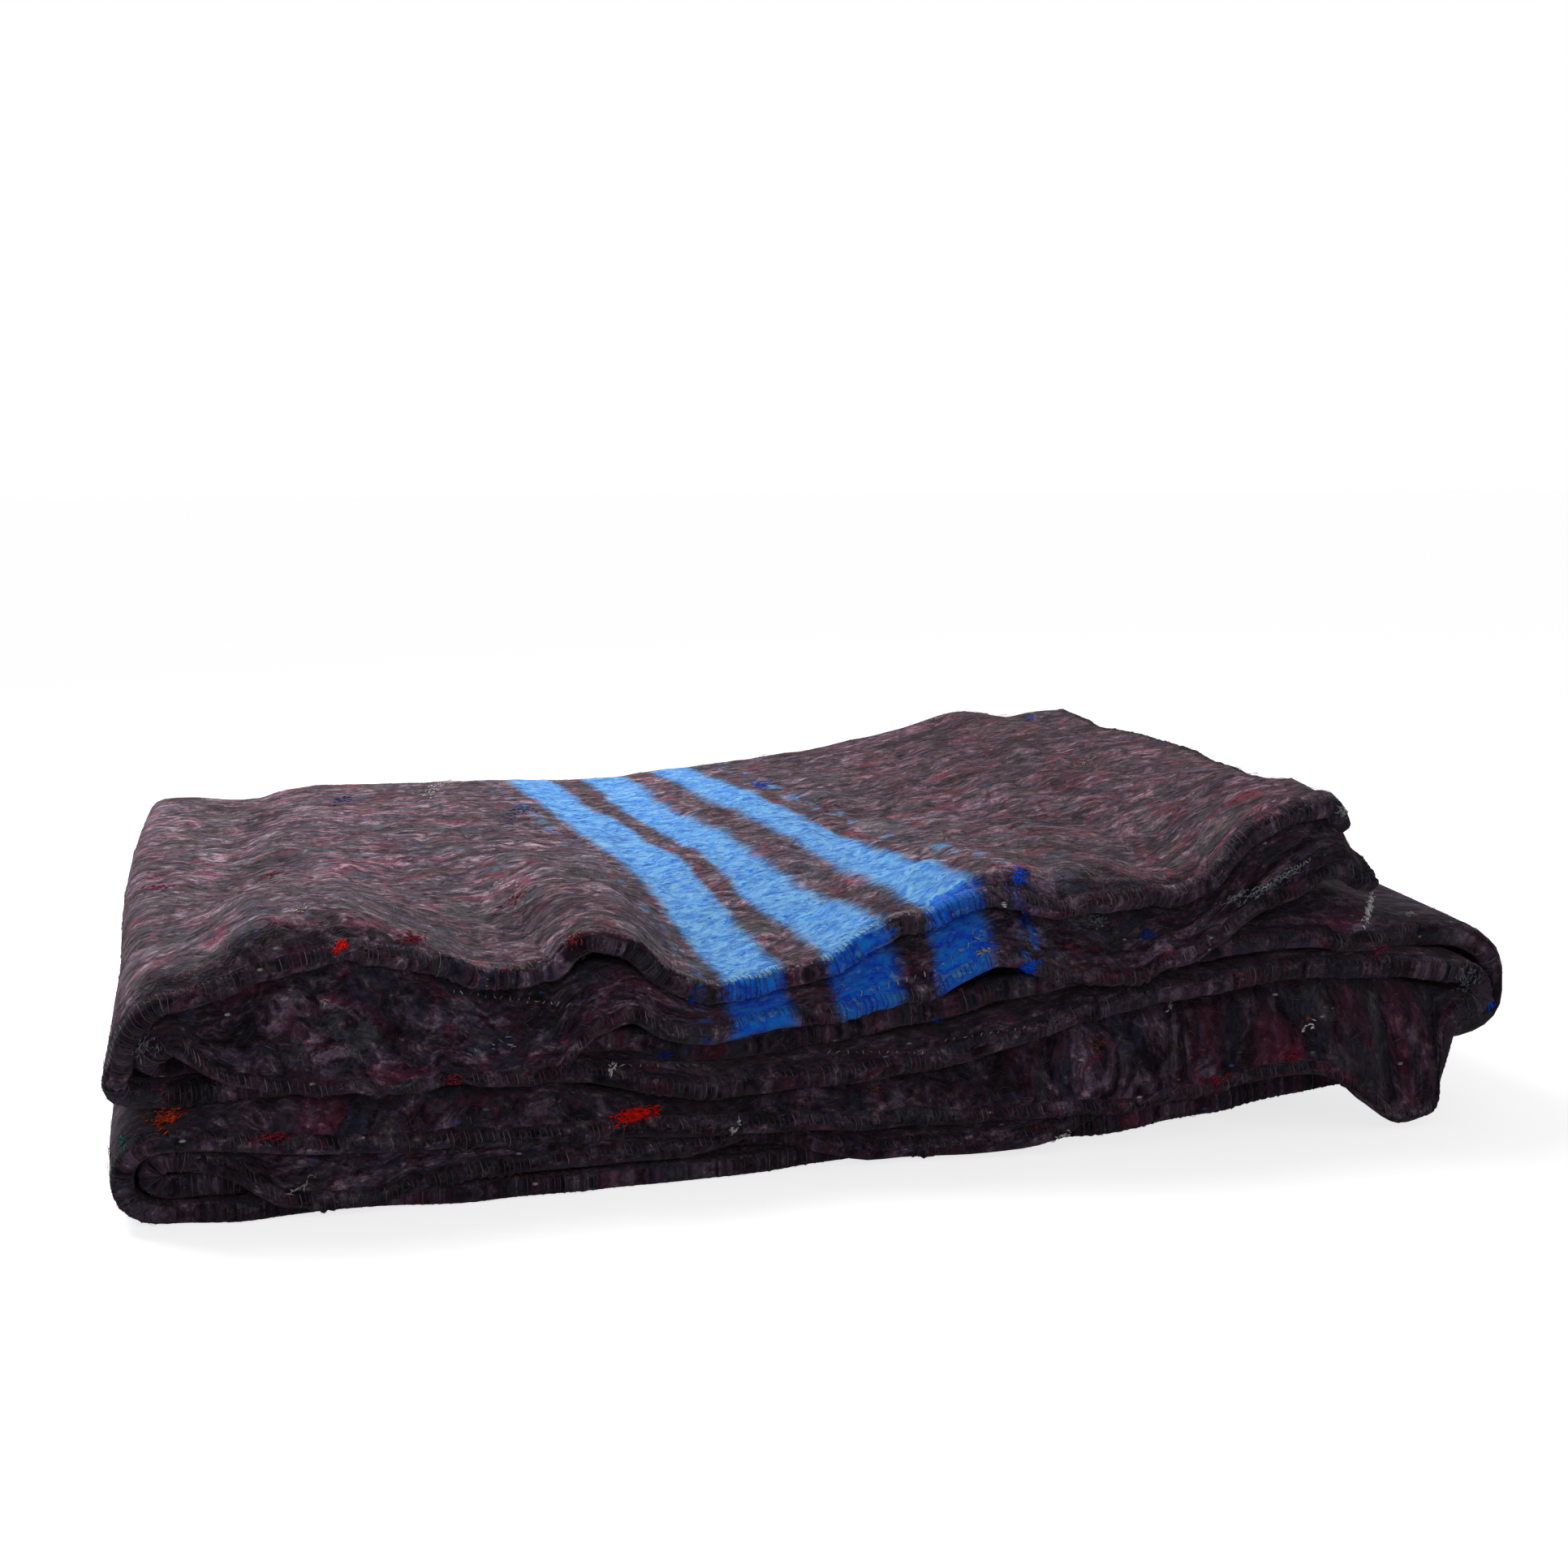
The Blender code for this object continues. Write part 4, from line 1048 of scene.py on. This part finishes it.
def remap(tree, value, fromLow, fromHigh, toLow=0.0, toHigh=1.0, smooth=True):
    inputs = {"Value": value, "From Min": fromLow, "From Max": fromHigh, "To Min": toLow, "To Max": toHigh}
    return addNode(tree, "MapRange", inputs, interpolation_type="SMOOTHSTEP" if smooth else "LINEAR").outputs[0]


def mixColours(tree, share, first, second, blend="MIX"):
    inputs = {0: share, 6: first, 7: second}  # the factor and the two colours of a colour mix
    return addNode(tree, "Mix", inputs, data_type="RGBA", blend_type=blend).outputs[2]


def scaleColour(tree, colour, amount):
    return addNode(tree, "VectorMath", {0: colour, "Scale": amount}, operation="SCALE").outputs[0]


def splitColour(tree, colour):
    return addNode(tree, "SeparateColor", {0: colour}).outputs


def readAttribute(tree, name):
    return addNode(tree, "Attribute", attribute_name=name).outputs


def newGroup(name, inputs, outputs):
    # A node group with the named sockets, each given with its kind.
    group = bpy.data.node_groups.new(name, "ShaderNodeTree")
    for way, sockets in (("INPUT", inputs), ("OUTPUT", outputs)):
        for label, kind in sockets.items():
            group.interface.new_socket(label, in_out=way, socket_type="NodeSocket" + kind)
    return group, group.nodes.new("NodeGroupInput").outputs


def giveOut(group, values):
    out = group.nodes.new("NodeGroupOutput")
    for label, value in values.items():
        feed(group, out.inputs[label], value)
    return group


def melangeGroup():
    # Streaks of mixed fibres along the length, with patches that lean to red, blue and green.
    inputs = {"Place": "Vector", **dict.fromkeys(feltLook["tones"], "Color"), "Hue Strength": "Float"}
    group, given = newGroup("feltMelange", inputs, {"Color": "Color", "Streaks": "Float", "Hairs": "Float"})
    streaks, hairs, tufts, patches = (
        stretchedNoise(group, given["Place"], *feltLook[key])
        for key in ("streaks", "hairs", "tufts", "patches")
    )
    streaks, hairs = streaks["Fac"], hairs["Fac"]
    parts = splitColour(group, tufts["Color"])
    colour = mixColours(group, remap(group, streaks, *feltLook["lightFrom"]), given["Ground"], given["Light"])
    colour = mixColours(group, remap(group, streaks, *feltLook["darkFrom"]), colour, given["Dark"])
    for label in ("Red", "Green", "Blue"):
        share = remap(group, parts[label], *feltLook["hueFrom"])
        share = calculate(group, "MULTIPLY", share, given["Hue Strength"])
        colour = mixColours(group, share, colour, given[label])
    shade = remap(group, hairs, 0.3, 0.7, *feltLook["hairShade"], smooth=False)
    broad = remap(group, patches["Fac"], 0.36, 0.64, *feltLook["patchShade"], smooth=False)
    colour = scaleColour(group, colour, calculate(group, "MULTIPLY", shade, broad))
    return giveOut(group, {"Color": colour, "Streaks": streaks, "Hairs": hairs})


def stripeGroup():
    # Each band: smooth step of half width - |place + fringe + wobble - middle|. The pins are broken bands.
    group, given = newGroup("stripeBands", {"Stripe Place": "Float", "Place": "Vector"}, {"Mask": "Float"})
    fringe, wobble, broken = (
        stretchedNoise(group, given["Place"], *stripes[key])["Fac"]
        for key in ("fringeNoise", "wobbleNoise", "brokenNoise")
    )
    moved = given["Stripe Place"]
    for noise, amount in ((fringe, stripes["fringe"]), (wobble, stripes["wobble"])):
        shift = calculate(group, "MULTIPLY", calculate(group, "SUBTRACT", noise, 0.5), amount)
        moved = calculate(group, "ADD", moved, shift)
    total = None
    for middle, half in stripes["bands"] + stripes["pins"]:
        off = calculate(group, "ABSOLUTE", calculate(group, "SUBTRACT", moved, middle))
        band = remap(group, off, half + stripes["feather"], half - stripes["feather"])
        if (middle, half) in stripes["pins"]:
            gaps = remap(group, broken, 0.50, 0.62, 0.0, stripes["pinStrength"])
            band = calculate(group, "MULTIPLY", band, gaps)
        total = band if total is None else calculate(group, "MAXIMUM", total, band)
    total = calculate(group, "MULTIPLY", total, remap(group, fringe, 0.30, 0.44, 0.45, 1.0))
    return giveOut(group, {"Mask": total})


def pileGroup():
    # The felt's relief: matted clumps, finer curls, single hairs and streaks, each with its weight.
    inputs = {"Place": "Vector", "Hairs": "Float", "Streaks": "Float"}
    group, given = newGroup("feltPile", inputs, {"Height": "Float", "Clumps": "Float"})
    clumps, curls = (
        stretchedNoise(group, given["Place"], *feltLook[key])["Fac"] for key in ("clumps", "curls")
    )
    parts = zip((clumps, curls, given["Hairs"], given["Streaks"]), feltLook["relief"].values())
    return giveOut(group, {"Height": addUp(group, *parts), "Clumps": clumps})


def speckGroup():
    # Pale and coloured specks caught in the surface: small cells that are seldom switched on.
    group, given = newGroup("lintSpecks", {"Place": "Vector"}, {"Mask": "Float", "Color": "Color"})
    place = addNode(group, "VectorMath", {0: given["Place"], 1: feltLook["speckScale"]}, operation="MULTIPLY")
    cells = addNode(group, "TexVoronoi", {"Vector": place.outputs[0], "Scale": 1.0}).outputs
    parts = splitColour(group, cells["Color"])
    chosen = calculate(group, "GREATER_THAN", parts["Red"], feltLook["speckless"])
    mask = calculate(group, "MULTIPLY", chosen, remap(group, cells["Distance"], 0.28, 0.12))
    ramp = addNode(group, "ValToRGB", {0: parts["Green"]})
    ramp.color_ramp.interpolation = "CONSTANT"
    elements = ramp.color_ramp.elements
    for number, (position, colour) in enumerate(feltLook["speckColours"].items()):
        element = elements[number] if number < 2 else elements.new(position)
        element.position = position
        element.color = (*colour, 1)
    return giveOut(group, {"Mask": mask, "Color": ramp.outputs[0]})


groups = {"melange": melangeGroup(), "stripes": stripeGroup(), "pile": pileGroup(), "specks": speckGroup()}


def placeGroup(tree, key, inputs):
    return addNode(tree, "Group", inputs, node_tree=groups[key]).outputs


def newMaterial(name):
    material = bpy.data.materials.new(name)
    material.use_nodes = True
    return material, material.node_tree, material.node_tree.nodes["Principled BSDF"]


def setShader(tree, shader, values):
    for label, value in values.items():
        feed(tree, shader.inputs[label], value)


def stripeBlue(tree, melange, clumps, shelter):
    # From the painted lit blues of the open top to the painted shaded blues by shelter, mottled by the felt's
    # streaks, with grey hairs over it.
    low, high = (mixColours(tree, shelter, *pair) for pair in zip(stripes["litBlues"], stripes["shadedBlues"]))
    tone = addUp(tree, (melange["Streaks"], 0.6), (clumps, 0.5))
    blue = mixColours(tree, remap(tree, tone, 0.42, 0.66), low, high)
    grey = calculate(tree, "MULTIPLY", remap(tree, melange["Hairs"], 0.45, 0.75), stripes["greyShare"])
    fewer = remap(tree, shelter, 0.0, 1.0, 1.0, stripes["shadedGreyShare"], smooth=False)
    return mixColours(tree, calculate(tree, "MULTIPLY", grey, fewer), blue, melange["Color"])


def feltMaterial(name, shade, relief):
    # The mixed felt, given painted shade where it is sheltered and on the right side of the top, then the
    # stripes, then the specks.
    material, tree, shader = newMaterial(name)
    clothPlace = addNode(tree, "UVMap", uv_map="clothPlace").outputs["UV"]
    solidPlace = addNode(tree, "TexCoord").outputs["Object"]
    tones = {label: tuple(part * shade for part in tone) for label, tone in feltLook["tones"].items()}
    inputs = {"Place": clothPlace, "Hue Strength": feltLook["hueStrength"], **tones}
    melange = placeGroup(tree, "melange", inputs)
    stripePlace = readAttribute(tree, "stripePlace")["Fac"]
    bands = placeGroup(tree, "stripes", {"Stripe Place": stripePlace, "Place": clothPlace})
    streaksAndHairs = {label: melange[label] for label in ("Hairs", "Streaks")}
    pile = placeGroup(tree, "pile", {"Place": solidPlace, **streaksAndHairs})
    specks = placeGroup(tree, "specks", {"Place": solidPlace})
    # Painted shade: sheltered felt is darkened and tinted bluer, with a ragged border.
    ragged = calculate(tree, "SUBTRACT", pile["Clumps"], 0.5)
    ragged = calculate(tree, "MULTIPLY", ragged, feltLook["raggedShelter"])
    shelter = calculate(tree, "ADD", readAttribute(tree, "shelter")["Fac"], ragged)
    shelter = remap(tree, shelter, 0.3, 0.7)
    # Painted shade: the open top is darkened towards its right side, standing in for the light's falloff.
    across = addNode(tree, "SeparateXYZ", {0: solidPlace}).outputs["X"]
    start, full = [float(place - bundleCentre[0]) / 1000 for place in feltLook["rightShadeFrom"]]
    unsheltered = remap(tree, shelter, 0.0, 1.0, 1.0, 0.0, smooth=False)
    rightShade = calculate(tree, "MULTIPLY", remap(tree, across, start, full), unsheltered)
    colour = mixColours(tree, shelter, melange["Color"], feltLook["shadeTint"], "MULTIPLY")
    colour = mixColours(tree, rightShade, colour, feltLook["rightShade"], "MULTIPLY")
    colour = mixColours(tree, bands["Mask"], colour, stripeBlue(tree, melange, pile["Clumps"], shelter))
    colour = mixColours(tree, specks["Mask"], colour, specks["Color"])
    distance = feltLook["bump"] * relief
    bump = addNode(tree, "Bump", {"Strength": 1.0, "Distance": distance, "Height": pile["Height"]})
    setShader(tree, shader, {
        "Base Color": colour,
        "Roughness": remap(tree, pile["Clumps"], 0.3, 0.7, *feltLook["roughness"], smooth=False),
        "Specular IOR Level": feltLook["specular"],
        "Sheen Weight": feltLook["sheen"],
        "Sheen Roughness": feltLook["sheenRoughness"],
        "Sheen Tint": feltLook["sheenTint"],
        "Normal": bump.outputs[0],
    })
    return material


def fibreMaterial():
    # Each fibre's own colour, a little uneven along it.
    material, tree, shader = newMaterial("looseFibre")
    solidPlace = addNode(tree, "TexCoord").outputs["Object"]
    uneven = stretchedNoise(tree, solidPlace, *nap["uneven"])["Fac"]
    uneven = remap(tree, uneven, 0.3, 0.7, 0.7, 1.3, smooth=False)
    colour = scaleColour(tree, readAttribute(tree, "fibreColour")["Color"], uneven)
    setShader(tree, shader, {"Base Color": colour, "Roughness": 0.8, "Specular IOR Level": 0.2})
    return material


def threadMaterial():
    material, tree, shader = newMaterial("overlockYarn")
    colour = scaleColour(tree, thread["colour"], readAttribute(tree, "threadTone")["Fac"])
    setShader(tree, shader, {"Base Color": colour, "Roughness": 0.45})
    return material


cloth.data.materials.append(feltMaterial("recycledFelt", 1.0, 1.0))
overlockedHem.data.materials.append(feltMaterial("gatheredFelt", *feltLook["gathered"]))
overlockThread.data.materials.append(threadMaterial())
looseFibre = fibreMaterial()
for piece in (topFibres, frontFibres, sideFibres, caughtLint):
    piece.data.materials.append(looseFibre)
print("materials ready")

# The studio: pale floor, and soft light from above and behind. Lengths are metres in the frame.
studio = {
    "floorSize": 30.0,
    "floorDepth": 0.0002,  # how far below the bundle the floor lies
    "floorColour": (0.80, 0.80, 0.80),
    "floorGrain": 1.01,
    "floorGlow": 0.75,  # share of the floor that is plain white in the picture
    "floorBounce": 0.62,  # how bright the floor is for light that reaches the cloth from it
    "keyPlace": (-0.50, 0.47, 0.98),
    "keyAim": (-0.02, 0.0, 0.08),
    "keySize": 0.7,
    "keyPower": 12.6,
    "skyBack": 0.55,
    "skyFront": 0.85,
    "skyFrontHigh": 0.25,
}


def buildFloor():
    half = studio["floorSize"] / 2
    corners = np.array([(-half, -half, 0), (half, -half, 0), (half, half, 0), (-half, half, 0)], float)
    floor = meshPiece("floor", corners - [0, 0, studio["floorDepth"]], np.array([[0, 1, 2, 3]]))
    material, tree, shader = newMaterial("paleFloor")
    grain = stretchedNoise(tree, addNode(tree, "TexCoord").outputs["Object"], (6, 6, 6), 3)["Fac"]
    bright, dim = (
        tuple(part * studio[key] for part in studio["floorColour"]) for key in ("floorGrain", "floorBounce")
    )
    seen = addNode(tree, "LightPath").outputs["Is Camera Ray"]
    setShader(tree, shader, {
        "Base Color": mixColours(tree, seen, dim, mixColours(tree, grain, studio["floorColour"], bright)),
        "Emission Color": (1, 1, 1, 1),
        "Emission Strength": calculate(tree, "MULTIPLY", seen, studio["floorGlow"]),
        "Roughness": 0.9,
        "Specular IOR Level": 0.1,
    })
    floor.data.materials.append(material)


def buildLamp():
    lamp = bpy.data.lights.new("softKey", "AREA")
    lamp.shape = "SQUARE"
    lamp.size = studio["keySize"]
    lamp.energy = studio["keyPower"]
    key = bpy.data.objects.new("softKey", lamp)
    key.location = studio["keyPlace"]
    towards = Vector(studio["keyAim"]) - Vector(studio["keyPlace"])
    key.rotation_euler = towards.to_track_quat("-Z", "Y").to_euler()
    bpy.context.scene.collection.objects.link(key)


def buildSky():
    # Light from the back, with a low band in front, and plain white where the camera sees it.
    world = bpy.data.worlds.new("studioSky")
    world.use_nodes = True
    tree = world.node_tree
    parts = addNode(tree, "SeparateXYZ", {0: addNode(tree, "TexCoord").outputs["Generated"]}).outputs
    back = remap(tree, parts["Y"], -0.3, 0.9, 0.0, studio["skyBack"])
    low = remap(tree, parts["Z"], 0.05, 0.55, studio["skyFront"], studio["skyFrontHigh"])
    front = calculate(tree, "MULTIPLY", low, remap(tree, parts["Y"], 0.1, -0.6))
    seen = addNode(tree, "LightPath").outputs["Is Camera Ray"]
    strength = calculate(tree, "MAXIMUM", calculate(tree, "ADD", back, front), seen)
    setShader(tree, tree.nodes["Background"], {"Color": (1, 1, 1, 1), "Strength": strength})
    bpy.context.scene.world = world


def buildCamera():
    # Turned by yaw about the upright and by pitch downwards; focal / picture width gives the lens.
    yaw, pitch = np.radians(view["yaw"]), np.radians(view["pitch"])
    place = toFrame(np.array(view["eye"]))
    forward = np.array([np.sin(yaw) * np.cos(pitch), np.cos(yaw) * np.cos(pitch), -np.sin(pitch)])
    right = np.array([np.cos(yaw), -np.sin(yaw), 0])
    upward = np.cross(right, forward)
    lens = bpy.data.cameras.new("photoView")
    lens.sensor_width = view["sensor"]
    lens.lens = view["focal"] / view["pictureWidth"] * view["sensor"]
    lens.clip_end = 100.0
    camera = bpy.data.objects.new("photoView", lens)
    camera.matrix_world = Matrix(
        [[right[axis], upward[axis], -forward[axis], place[axis]] for axis in range(3)] + [[0, 0, 0, 1]]
    )
    bpy.context.scene.collection.objects.link(camera)
    bpy.context.scene.camera = camera


buildFloor()
buildLamp()
buildSky()
buildCamera()
bpy.context.scene.view_settings.view_transform = "Standard"
print("studio ready")

extraPieces = [overlockedHem, overlockThread, topFibres, frontFibres, sideFibres, caughtLint]
for piece in [cloth, *extraPieces]:
    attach(piece, "root")
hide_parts("blanket")
